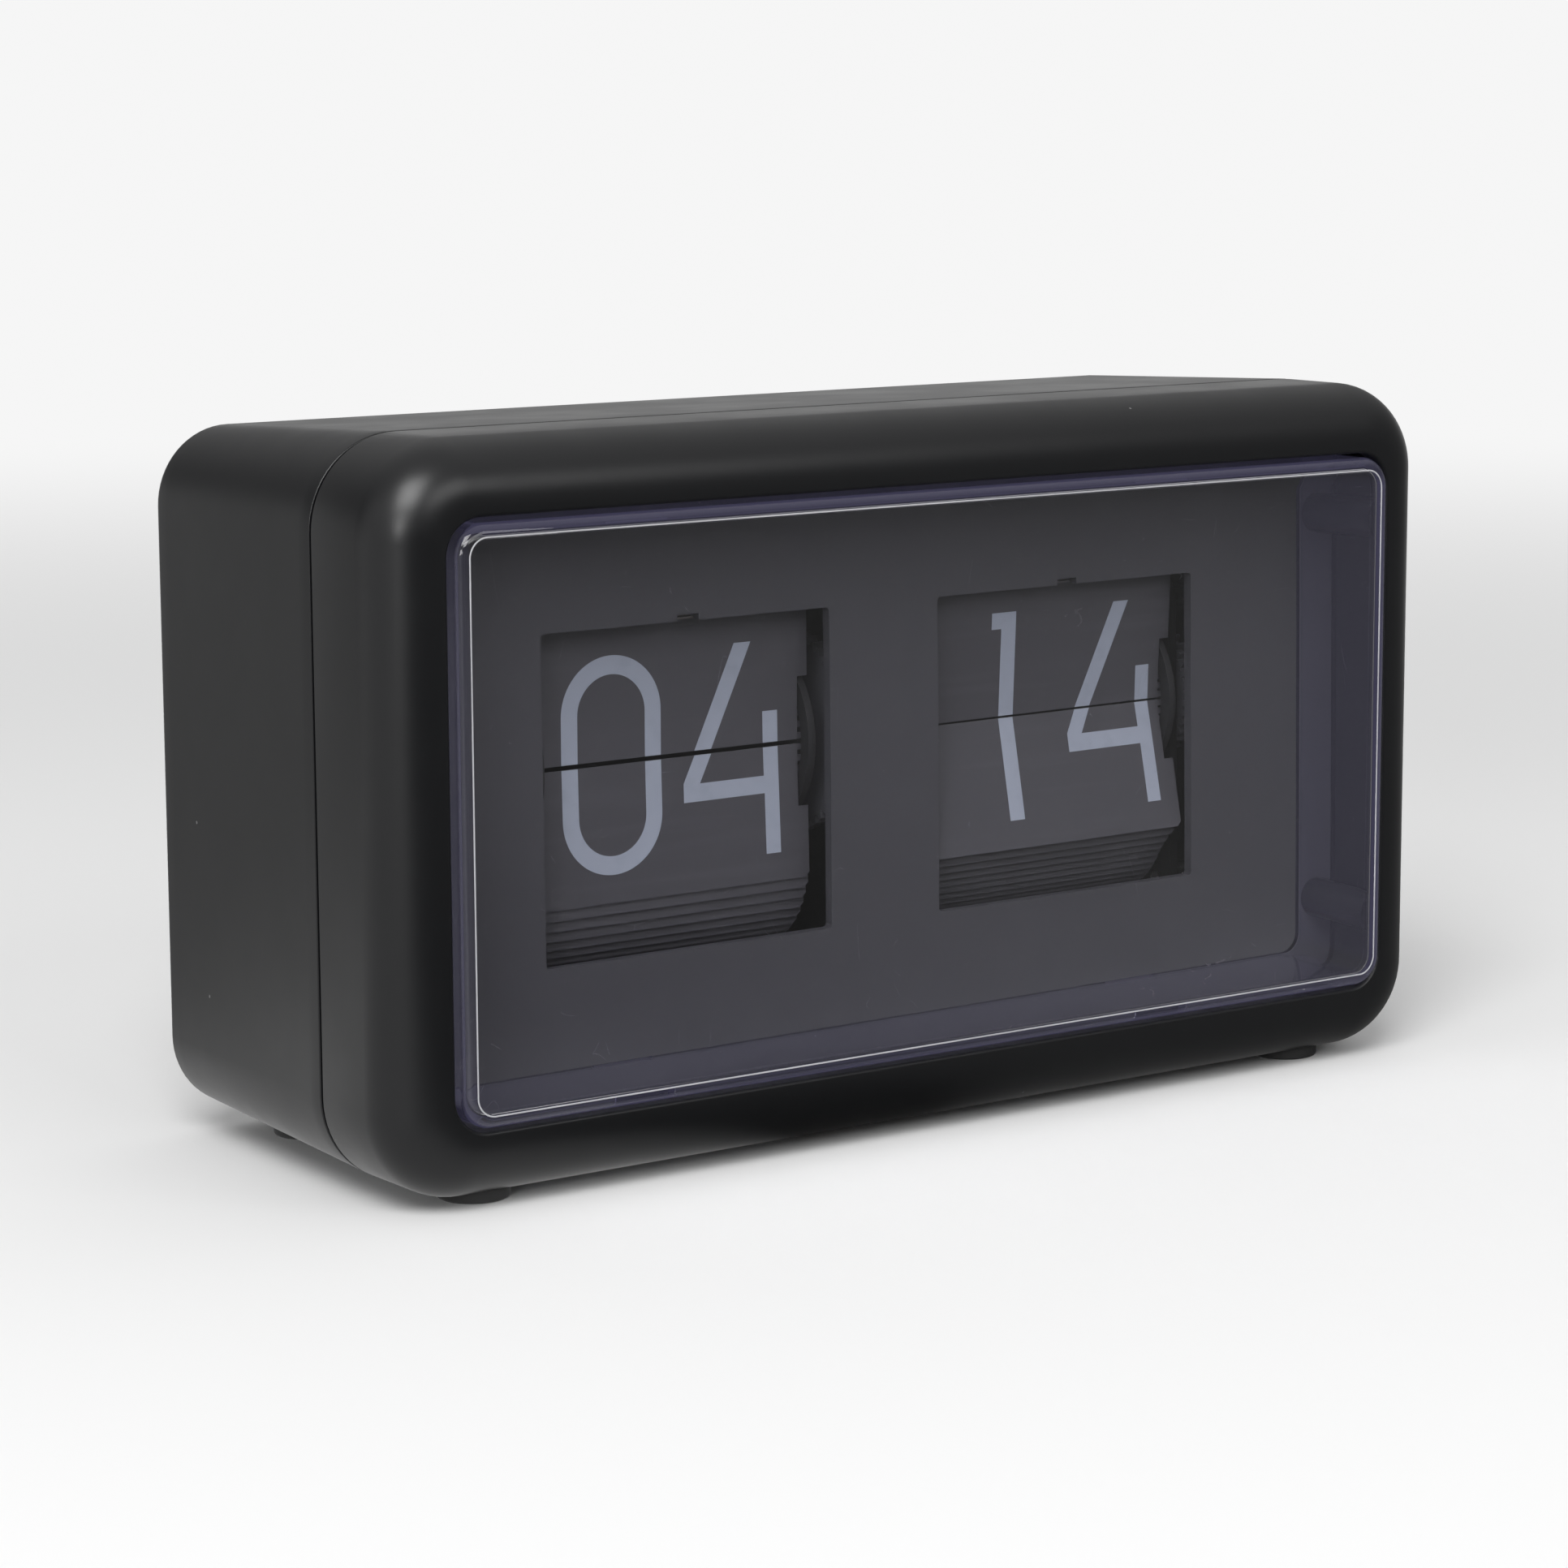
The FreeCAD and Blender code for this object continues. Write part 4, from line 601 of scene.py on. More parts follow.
@dataclass(frozen=True)
class LeafSheet(Finish):
    """Thin matt sheet with a fine tooth and faint rubbed streaks."""

    rubbed: Colour = (0.07, 0.07, 0.075)

    def dress(self, book: NodeBook, shader: bpy.types.Node, place: Socket) -> None:
        """Tooth to the bump and streaks to colour and roughness."""
        grain = book.place(SatinGrain().group(), Vector=place, Frequency=1.0 / (0.16 * MM))
        wide = book.stretched(place, (30.0, 200.0, 420.0))
        streaks = book.ramp(book.add("ShaderNodeTexNoise", Vector=wide, Scale=1.0, Detail=2.0)
                            .outputs["Fac"], 0.5, 0.8)
        self.vary(book, shader, streaks, self.rubbed, self.roughness - 0.08)
        self.bump(book, shader, grain.outputs["Height"], 0.35, 0.006)


@dataclass(frozen=True)
class PrintedInk(Finish):
    """Screen-printed ink: a slightly uneven film with a dry tooth."""

    thin: Colour = (0.2, 0.2, 0.22)

    def dress(self, book: NodeBook, shader: bpy.types.Node, place: Socket) -> None:
        """Mesh-like tooth to the bump and thin spots to the colour."""
        grain = book.place(SatinGrain().group(), Vector=place, Frequency=1.0 / (0.1 * MM))
        thin = book.ramp(book.noise(place, 2.4, 3.0, 0.6), 0.45, 0.85)
        self.vary(book, shader, thin, self.thin, self.roughness + 0.08)
        self.bump(book, shader, grain.outputs["Height"], 0.3, 0.005)


@dataclass(frozen=True)
class Metal(Finish):
    """Drawn, rolled or ground metal with lines along one way and a faint cast."""

    stretch: tuple[float, float, float] = (300.0, 6000.0, 6000.0)
    cast: Colour = (0.5, 0.47, 0.42)
    cast_roughness: float = 0.42

    def dress(self, book: NodeBook, shader: bpy.types.Node, place: Socket) -> None:
        """Lines to the bump and drift to colour and roughness."""
        lines = book.place(DrawnLines().group(), Vector=place, Stretch=self.stretch)
        drift = book.ramp(lines.outputs["Drift"], 0.4, 0.75)
        self.vary(book, shader, drift, self.cast, self.cast_roughness)
        self.bump(book, shader, lines.outputs["Height"], 0.25, 0.01)


@dataclass(frozen=True)
class CellSleeve(Finish):
    """Shrink sleeve of a dry cell with a plain metallic band at one end."""

    band_start: float = -14.0
    band: Colour = (0.45, 0.3, 0.1)

    def dress(self, book: NodeBook, shader: bpy.types.Node, place: Socket) -> None:
        """The band is where X is past its start; fine wrinkles go to the bump."""
        along = book.add("ShaderNodeSeparateXYZ", Vector=place).outputs[0]
        mask = book.math("GREATER_THAN", along, self.band_start * MM)
        self.vary(book, shader, mask, self.band, self.roughness + 0.05)
        self.bump(book, shader, book.noise(place, 3.0, 3.0), 0.2, 0.05)


@dataclass(frozen=True)
class Laminate(Finish):
    """Solder mask over woven glass: a faint crossed weave and darker drift."""

    deep: Colour = (0.01, 0.09, 0.04)

    def dress(self, book: NodeBook, shader: bpy.types.Node, place: Socket) -> None:
        """Two crossed sine waves make the weave's height."""
        waves = [book.add("ShaderNodeTexWave", Vector=place, Scale=900.0, bands_direction=way)
                 .outputs["Fac"] for way in ("X", "Y")]
        weave = book.math("MULTIPLY", waves[0], waves[1])
        self.vary(book, shader, book.ramp(book.noise(place, 4.0, 3.0), 0.4, 0.7), self.deep,
                  self.roughness + 0.1)
        self.bump(book, shader, weave, 0.3, 0.02)


@dataclass(frozen=True)
class ClearPlastic(Finish):
    """Polished clear moulding with hair scratches, specks and a faint violet painted glow in its edges:
    emission that stands in for light caught in them.

    Light passes it without a shadow.
    """

    shade: Colour = (0.93, 0.93, 0.96)
    # Colour of the painted glow in the walls and rounded edges: emission standing in for light caught in
    # them.
    painted_edge_light: Colour = (0.0085, 0.0080, 0.0150)
    edge_half: tuple[float, float] = (78.8, 38.0)
    middle_z: float = 51.5

    def edge_mask(self, book: NodeBook, place: Socket) -> Socket:
        """1 in the walls and rounded edges: outside a rectangle about the middle of the window."""
        parts = book.add("ShaderNodeSeparateXYZ", Vector=place).outputs
        across = book.math("ABSOLUTE", parts[0])
        rise = book.math("ABSOLUTE", book.math("SUBTRACT", parts[2], self.middle_z * MM))
        return book.math("MAXIMUM", *(book.ramp(value, (limit - 0.5) * MM, (limit + 0.4) * MM)
                                      for value, limit in zip((across, rise), self.edge_half)))

    def dress(self, book: NodeBook, shader: bpy.types.Node, place: Socket) -> None:
        """Marks go to roughness, slow noise to bump and the edges to a painted glow of emission; shadow rays
        see a plain tint.
        """
        scratches = book.place(HairScratches().group(), Vector=place, Width=0.0011)
        specks = book.place(DustSpecks().group(), Vector=place, Frequency=300.0, Radius=0.028,
                            Rarity=0.8)
        marks = book.math("MAXIMUM", scratches.outputs["Mask"], specks.outputs["Mask"])
        smear = book.ramp(book.noise(place, 30.0, 2.0), 0.45, 0.8)
        rough = book.math("ADD", book.math("MULTIPLY", marks, 0.25), book.math("MULTIPLY", smear, 0.02))
        rough = book.math("ADD", rough, self.roughness)
        book.tree.links.new(rough, shader.inputs["Roughness"])
        self.bump(book, shader, book.noise(place, 45.0, 1.0), 0.2, 0.05)
        tree = book.tree
        # Painted light: a faint violet emission in the walls and rounded edges stands in for light caught in
        # them.
        glow = book.mix_colour(self.edge_mask(book, place), (0.0, 0.0, 0.0), self.painted_edge_light)
        tree.links.new(glow, shader.inputs["Emission Color"])
        shader.inputs["Emission Strength"].default_value = 1.0
        clear = book.add("ShaderNodeBsdfTransparent")
        clear.inputs["Color"].default_value = (*self.shade, 1.0)
        path = book.add("ShaderNodeLightPath")
        mix = book.add("ShaderNodeMixShader")
        tree.links.new(path.outputs["Is Shadow Ray"], mix.inputs[0])
        tree.links.new(shader.outputs[0], mix.inputs[1])
        tree.links.new(clear.outputs[0], mix.inputs[2])
        tree.links.new(mix.outputs[0], tree.nodes["Material Output"].inputs["Surface"])


STEEL = (("Metallic", 1.0),)
FINISHES: dict[Slot, Finish] = {
    Slot.CASE: MouldedPlastic("case_satin_black", (0.0040, 0.0042, 0.0050), 0.36,
                              (("Specular IOR Level", 0.5),), grain=0.2, depth=0.01,
                              shine=(0.0046, 0.0048, 0.0056), shine_roughness=0.32),
    Slot.CLEAR: ClearPlastic("lens_clear", (0.975, 0.973, 0.99), 0.0,
                             (("Transmission Weight", 1.0), ("IOR", 1.49))),
    Slot.PANEL: MouldedPlastic("panel_satin_grey", (0.041, 0.0405, 0.0465), 0.45, grain=0.15,
                               depth=0.004, strength=0.15, shine=(0.044, 0.0435, 0.0495),
                               shine_roughness=0.4, dust=0.985),
    Slot.LEAF: LeafSheet("leaf_matt_grey", (0.043, 0.042, 0.0485), 0.55,
                         rubbed=(0.048, 0.047, 0.0535)),
    Slot.RUBBER: MouldedPlastic("foot_rubber", (0.018, 0.018, 0.018), 0.8, grain=0.4, depth=0.05,
                                shine=(0.03, 0.03, 0.03), shine_roughness=0.7),
    # Zinc sheet given a colour far darker than bare zinc, for the shade it sits in inside the case: painted
    # shade.
    Slot.PLATED: Metal("zinc_sheet_darkened_for_shade", (0.075, 0.075, 0.078), 0.46, STEEL, cast=(0.06, 0.062, 0.06),
                       cast_roughness=0.52),
    Slot.SCREW: Metal("zinc_screw", (0.5, 0.5, 0.5), 0.36, STEEL, stretch=(2500.0, 2500.0, 2500.0)),
    Slot.BRIGHT: Metal("ground_rod", (0.7, 0.7, 0.7), 0.2, STEEL, stretch=(9000.0, 900.0, 900.0),
                       cast=(0.62, 0.6, 0.58), cast_roughness=0.3),
    Slot.SPRING: Metal("blued_spring", (0.11, 0.11, 0.115), 0.36, STEEL,
                       stretch=(1500.0, 1500.0, 1500.0), cast=(0.14, 0.13, 0.12)),
    Slot.GEAR: MouldedPlastic("gear_acetal", (0.045, 0.045, 0.05), 0.4, grain=0.5, depth=0.01,
                              shine=(0.055, 0.055, 0.06), shine_roughness=0.46, dust=0.999),
    Slot.BLACK_GEAR: MouldedPlastic("acetal_black", (0.011, 0.011, 0.012), 0.5, grain=0.3, depth=0.01,
                                    shine=(0.014, 0.014, 0.015), shine_roughness=0.44),
    Slot.MOTOR: Metal("motor_can", (0.55, 0.55, 0.54), 0.3, STEEL, stretch=(600.0, 3000.0, 3000.0)),
    Slot.CELL: CellSleeve("cell_sleeve", (0.04, 0.09, 0.16), 0.32, (("Coat Weight", 0.4),)),
    Slot.BOARD: Laminate("board_laminate", (0.02, 0.15, 0.07), 0.3, (("Coat Weight", 0.3),)),
    Slot.COMPONENT: MouldedPlastic("component_black", (0.02, 0.02, 0.02), 0.45, grain=0.15, depth=0.02,
                                   shine=(0.03, 0.03, 0.03), shine_roughness=0.35),
}
# Pale finish of the strip round the lens front: a painted highlight standing in for the light caught where
# the rounded edge meets the flat.
PAINTED_EDGE_HIGHLIGHT = MouldedPlastic("lens_painted_edge_highlight", (0.45, 0.45, 0.47), 0.4, grain=0.3, depth=0.004,
                             shine=(0.36, 0.36, 0.38), shine_roughness=0.5, dust=0.999)
INK = PrintedInk("numeral_ink", (0.262, 0.286, 0.335), 0.5, thin=(0.235, 0.257, 0.300))


def finish_of(slot: Slot) -> bpy.types.Material:
    """The material that a slot's pieces wear."""
    return FINISHES[slot].build()


# ================================================================ case
@dataclass
class Case:
    """Front bezel and back shell of the moulded case."""

    half_width: float = 90.0
    half_height: float = 50.0
    corner: float = 12.8
    middle_z: float = 51.5
    front_y: float = -33.0
    back_y: float = 33.0
    seam_front: float = -13.85
    seam_back: float = -13.35
    wall: float = 2.4
    front_fillet: float = 8.2
    back_fillet: float = 1.6
    draft: float = 1.96
    opening_half_width: float = 81.0
    opening_half_height: float = 40.15
    opening_corner: float = 5.1
    opening_edge: float = 0.5
    seam_edge: float = 0.22
    tongue_inset: float = 1.3
    tongue_length: float = 2.5
    screw_x: float = 83.8
    screw_z: float = 30.0
    screw_seat_y: float = -1.8
    screw_hole: float = 1.55
    head_hole: float = 2.75
    hole_start_y: float = -18.0
    boss: float = 3.0
    post: float = 3.6
    post_front_y: float = -14.85
    panel_y: float = -16.4
    foot_x: float = 72.0
    foot_y: float = 22.0
    foot_radius: float = 5.0
    foot_pocket: float = 0.6
    foot_clearance: float = 0.15
    foot_edge: float = 0.45
    foot_tops: tuple[float, float] = (2.1, 3.9)
    rear_pocket_extra: float = 1.7
    base_z: float = 1.5
    door_centre: tuple[float, float] = (-29.0, 15.71)
    door_half: tuple[float, float] = (30.0, 9.5)
    door_ledge: float = 1.4
    slot_x: tuple[float, float] = (67.5, 74.1)
    slot_half_z: float = 8.2
    wheel_z: float = 54.6

    def section(self, inset: float, y: float) -> tuple[float, float, float, float]:
        """A ring of the case brought in by an inset."""
        return (self.half_width - inset, self.half_height - inset, max(self.corner - inset, 0.5), y)

    def screw_places(self) -> list[tuple[float, float]]:
        """X and Z of the four case screws."""
        return [(sx * self.screw_x, self.middle_z + sz * self.screw_z) for sx in (-1, 1) for sz in (-1, 1)]

    def bezel(self) -> bpy.types.Object:
        """The front shell: a profile from the seam over the big fillet into the opening and back inside.

        Returns:
            The shell with its screw bosses and foot pockets.
        """
        edge, lip, wall = self.seam_edge, self.opening_edge, self.wall
        seam = np.array([self.section(edge * (1 - math.sin(t)), self.seam_front - edge * (1 - math.cos(t)))
                         for t in arc(0.0, 90.0, 5)])
        over = arc(0.0, 90.0, 20)
        start = self.front_y + self.front_fillet
        fillet = np.array([self.section(self.front_fillet * (1 - math.cos(t)),
                                        start - self.front_fillet * math.sin(t)) for t in over])
        mouth = np.array([(self.opening_half_width + lip * (1 - math.sin(t)),
                           self.opening_half_height + lip * (1 - math.sin(t)),
                           self.opening_corner + lip * (1 - math.sin(t)),
                           self.front_y + lip * (1 - math.cos(t))) for t in arc(0.0, 90.0, 6)])
        opening = (self.opening_half_width, self.opening_half_height, self.opening_corner)
        inner_radius = self.front_fillet - wall
        side = [(*opening, self.front_y + 1.4), (*opening, self.front_y + 2.37)]
        inner = np.array([self.section(wall + inner_radius * (1 - math.cos(t)),
                                       start - inner_radius * math.sin(t)) for t in arc(78.0, 0.0, 8)])
        rebate = self.tongue_inset - 0.1
        back = [self.section(wall, self.seam_front - 3.2), self.section(rebate, self.seam_front - 3.0),
                self.section(rebate, self.seam_front)]
        profile = np.vstack([seam, fillet, mouth, np.array(side), inner, np.array(back)])
        piece = swept("bezel", profile, (0.0, self.middle_z), closed=True)
        reach = (self.panel_y, self.front_y + wall + 1.0)
        bosses = [rod("boss", self.boss, reach, (x, 0.0, z), "y", 28) for x, z in self.screw_places()]
        combined(piece, bosses, "UNION")
        combined(piece, self.pockets(self.base_z + self.foot_pocket, -self.foot_y), "DIFFERENCE")
        return piece

    def back_section(self, inset: float, y: float) -> tuple[float, float, float, float]:
        """A ring of the tapering back shell: the draft grows evenly from the seam to the rear wall."""
        share = (y - self.seam_back) / (self.back_y - self.seam_back)
        return self.section(inset + self.draft * share, y)

    def shell(self) -> bpy.types.Object:
        """The back shell: outside, rear wall, inside and tongue as one skin, then its openings.

        Returns:
            The shell with screw posts, battery opening, wheel slot and foot pockets.
        """
        edge, fillet, wall = self.seam_edge, self.back_fillet, self.wall
        outside = [self.back_section(edge * (1 - math.sin(t)), self.seam_back + edge * (1 - math.cos(t)))
                   for t in arc(0.0, 90.0, 5)]
        outside += [self.back_section(0.0, y) for y in np.linspace(self.seam_back + 3, self.back_y - 4, 4)]
        outside += [self.back_section(fillet * (1 - math.cos(t)), self.back_y - fillet * (1 - math.sin(t)))
                    for t in arc(0.0, 90.0, 9)]
        outside.append(self.section(self.draft + 9.0, self.back_y))
        inner_back = self.back_y - wall
        inside = [self.back_section(wall + 6.0, inner_back), self.back_section(wall, inner_back),
                  self.back_section(wall, self.seam_back + 0.3)]
        tip = self.seam_front - self.tongue_length
        inside += [self.section(wall, tip), self.section(self.tongue_inset, tip),
                   self.section(self.tongue_inset, self.seam_back)]
        rings = rounded_rings(np.array(outside + inside), (0.0, self.middle_z))
        count, around = rings.shape[:2]
        faces = skin_faces(count, len(outside), around)
        piece = finished_object("shell", rings.reshape(-1, 3), faces)
        reach = (self.post_front_y, inner_back + 1.0)
        posts = [rod("post", self.post, reach, (x, 0.0, z), "y", 28) for x, z in self.screw_places()]
        combined(piece, posts, "UNION")
        combined(piece, self.shell_cutters(inner_back), "DIFFERENCE")
        return piece

    def shell_cutters(self, inner_back: float) -> list:
        """Solids for the screw holes, battery opening, wheel slot and foot pockets."""
        tools = []
        for x, z in self.screw_places():
            tools.append(turned("hole", np.array([(0, self.hole_start_y),
                                                  (self.screw_hole, self.hole_start_y),
                                                  (self.screw_hole, self.screw_seat_y),
                                                  (self.head_hole, self.screw_seat_y),
                                                  (self.head_hole, self.back_y - 0.35),
                                                  (self.head_hole + 0.7, self.back_y + 0.35),
                                                  (self.head_hole + 0.7, self.back_y + 1),
                                                  (0, self.back_y + 1)], float), (x, 0.0, z), "y", 40))
        half_w, half_h = self.door_half
        ledge = self.door_ledge
        recess = np.array([(half_w, half_h, ledge, self.back_y - ledge),
                           (half_w, half_h, ledge, self.back_y - 0.3),
                           (half_w + 0.6, half_h + 0.6, ledge + 0.6, self.back_y + 0.3)])
        tools.append(swept("recess", recess, self.door_centre, False, corner_steps=8))
        through = np.array([(half_w - ledge, half_h - ledge, ledge / 2, y)
                            for y in (inner_back - 1, self.back_y - ledge + 0.2)])
        tools.append(swept("through", through, self.door_centre, False, corner_steps=6))
        middle = (sum(self.slot_x) / 2, self.wheel_z)
        half_slot = (self.slot_x[1] - self.slot_x[0]) / 2
        slot = np.array([(half_slot, self.slot_half_z, 0.9, inner_back - 1),
                         (half_slot, self.slot_half_z, 0.9, self.back_y - 0.5),
                         (half_slot + 1.0, self.slot_half_z + 1.0, 1.9, self.back_y + 0.5)])
        tools.append(swept("slot", slot, middle, False, corner_steps=6))
        return tools + self.pockets(self.base_z + self.foot_pocket + self.rear_pocket_extra, self.foot_y)

    def pockets(self, top: float, y: float) -> list:
        """Cutters for a pair of foot pockets, up to a height."""
        radius = self.foot_radius + self.foot_clearance
        return [rod("pocket", radius, (-1.0, top), (sx * self.foot_x, y, 0.0), "z", 40) for sx in (-1, 1)]

    def feet(self, front: bool) -> bpy.types.Object:
        """A pair of rubber feet: turned pads with a rounded tread edge and a shallow dished sole."""
        top, edge = self.foot_tops[0 if front else 1], self.foot_edge
        tread = np.array([(self.foot_radius - edge + edge * math.sin(t), edge * (1 - math.cos(t)))
                          for t in arc(0.0, 90.0, 6)])
        profile = np.vstack([[(0.0, 0.35), (2.8, 0.3), (3.5, 0.0)], tread,
                             [(self.foot_radius, top), (0.0, top)]])
        y = -self.foot_y if front else self.foot_y
        left, right = (turned("foot", profile, (sx * self.foot_x, y, 0.0), "z", 56) for sx in (-1, 1))
        combined(left, [right], "UNION")
        left.name = "front_pads" if front else "rear_pads"
        return left

    def build(self) -> None:
        """Makes the shells and feet and dresses them."""
        black, rubber = finish_of(Slot.CASE), finish_of(Slot.RUBBER)
        add_piece(self.bezel(), Body.CASE, black, ("front_bezel",))
        add_piece(self.shell(), Body.CASE, black, ("back_shell",))
        add_piece(self.feet(True), Body.CASE, rubber, ("front_feet",))
        add_piece(self.feet(False), Body.CASE, rubber, ("rear_feet",))


# ================================================================ lens
@dataclass
class Lens:
    """Clear tray that stands a little proud of the bezel."""

    half_width: float = 80.4
    half_height: float = 39.55
    corner: float = 4.5
    front_y: float = -34.5
    rear_y: float = -16.4
    front_thickness: float = 1.8
    wall: float = 1.6
    inner_round: float = 0.5
    rear_edge: float = 0.12
    fillet: float = 1.7
    bead: float = 0.34
    bead_height: float = 0.02
    line_width: float = 0.2
    line_rise: float = 0.03
    line_foot: float = 0.12
    middle_z: float = 51.5
    tab_x: float = 45.5
    tab_half: float = 4.75
    tab_thickness: float = 1.2
    tab_hook: float = 0.7
    tab_end: float = -13.5
    hook_start: float = -14.8

    def ring(self, inset: float, y: float) -> tuple[float, float, float, float]:
        """A ring of the tray brought in by an inset."""
        return (self.half_width - inset, self.half_height - inset, max(self.corner - inset, 0.4), y)

    def tray(self) -> bpy.types.Object:
        """The tray: outside wall, rounded edge with a fine bead, front window, and the same inside.

        Returns:
            The tray with its snap tabs.
        """
        start = self.front_y + self.fillet
        rim = self.front_y + self.bead_height
        edge = self.rear_edge
        outside = [self.ring(edge, self.rear_y), self.ring(0.0, self.rear_y - edge)]
        outside += [self.ring(self.fillet * (1 - math.cos(t)),
                              start - (self.fillet - self.bead_height) * math.sin(t))
                    for t in arc(0.0, 90.0, 14)]
        outside += [self.ring(self.fillet + self.bead * (1 - math.cos(t)) / 2,
                              rim - self.bead_height * math.sin(t)) for t in arc(20.0, 180.0, 9)]
        inner_front = self.front_y + self.front_thickness
        inner_round = self.inner_round
        inside = [self.ring(self.wall + inner_round * (1 - math.sin(t)), inner_front + inner_round
                            * (1 - math.cos(t))) for t in arc(0.0, 90.0, 7)]
        inside += [self.ring(self.wall, self.rear_y - edge), self.ring(self.wall - edge, self.rear_y)]
        rings = rounded_rings(np.array(outside + inside), (0.0, self.middle_z), 14)
        count, around = rings.shape[:2]
        faces = skin_faces(count, len(outside), around)
        piece = finished_object("lens_tray", rings.reshape(-1, 3), faces, 24.0)
        combined(piece, self.tabs(), "UNION", 24.0)
        return piece

    def tabs(self) -> list:
        """Four snap tabs that pass through the dial panel and hook behind it."""
        made = []
        for side_x in (-1, 1):
            for side_z in (-1, 1):
                x, edge = side_x * self.tab_x, self.half_height
                for y0, z_out in ((self.rear_y - 1.0, 0.0), (self.hook_start, self.tab_hook)):
                    low, high = sorted((self.middle_z + side_z * (edge - self.tab_thickness),
                                        self.middle_z + side_z * (edge + z_out)))
                    made.append(slab("tab", (x - self.tab_half, y0, low),
                                     (x + self.tab_half, self.tab_end, high)))
        return made

    def edge_line(self) -> bpy.types.Object:
        """A pale strip round the flat front, a painted highlight where the rounded edge ends: a half-round
        strip.
        """
        half, middle = self.line_width / 2, self.fillet + self.line_width / 2
        round_part = [self.ring(middle - half * math.cos(t), self.front_y - self.line_rise * math.sin(t))
                      for t in arc(0.0, 180.0, 7)]
        foot = self.front_y + self.line_foot
        profile = np.array(round_part + [self.ring(middle + half, foot), self.ring(middle - half, foot)])
        return swept("lens_edge_line", profile, (0.0, self.middle_z), closed=True, corner_steps=14)

    def build(self) -> None:
        """Makes the tray and the painted highlight strip round its front, and dresses them."""
        add_piece(self.tray(), Body.CASE, finish_of(Slot.CLEAR), ("lens",))
        # The strip round the front wears a pale finish: a painted highlight.
        add_piece(self.edge_line(), Body.CASE, PAINTED_EDGE_HIGHLIGHT.build())


# ================================================================ numerals
@dataclass
class LeafFace:
    """One face of a leaf: where a point across and below or above the split line lies in space."""

    drum_x: float
    pivot_angle: float
    direction: float
    half: Half
    back: bool = False
    axis_y: float = 1.3
    axis_z: float = 54.6
    pivot_radius: float = 12.5
    thickness: float = 0.15
    heel: float = 0.5

    def edge(self) -> float:
        """Height over the split at which the leaf, and so its print, begins."""
        rise = self.pivot_radius * abs(math.sin(math.radians(self.pivot_angle)))
        return rise - self.heel * abs(math.sin(math.radians(self.direction))) + 0.03

    def place(self, flat: np.ndarray, lift: float) -> np.ndarray:
        """Card coordinates (across, height over the split) to space.

        The distance from the hinge is the height over the split, less the hinge's own height, over
        the cosine of the lean; the point is the hinge plus that along the leaf plus the lift outward.

        Args:
            flat: Array (n, 2) in millimetres.
            lift: Height over the leaf's face.

        Returns:
            Array (n, 3).
        """
        pivot, way = math.radians(self.pivot_angle), math.radians(self.direction)
        hinge = np.array([self.drum_x, self.axis_y - self.pivot_radius * math.cos(pivot),
                          self.axis_z + self.pivot_radius * math.sin(pivot)])
        along = np.array([0.0, -math.cos(way), math.sin(way)])
        outward = np.array([0.0, -math.sin(way), -math.cos(way)]) * (1.0 if way < math.pi else -1.0)
        if self.back:
            outward = -outward
        rise = abs(hinge[2] - self.axis_z)
        distance = (np.abs(flat[:, 1]) - rise) / (1.0 if self.back else abs(math.sin(way)))
        across = np.array([1.0, 0.0, 0.0])
        return (hinge + across * flat[:, :1] + along * distance[:, None]
                + outward * (self.thickness / 2 + lift))


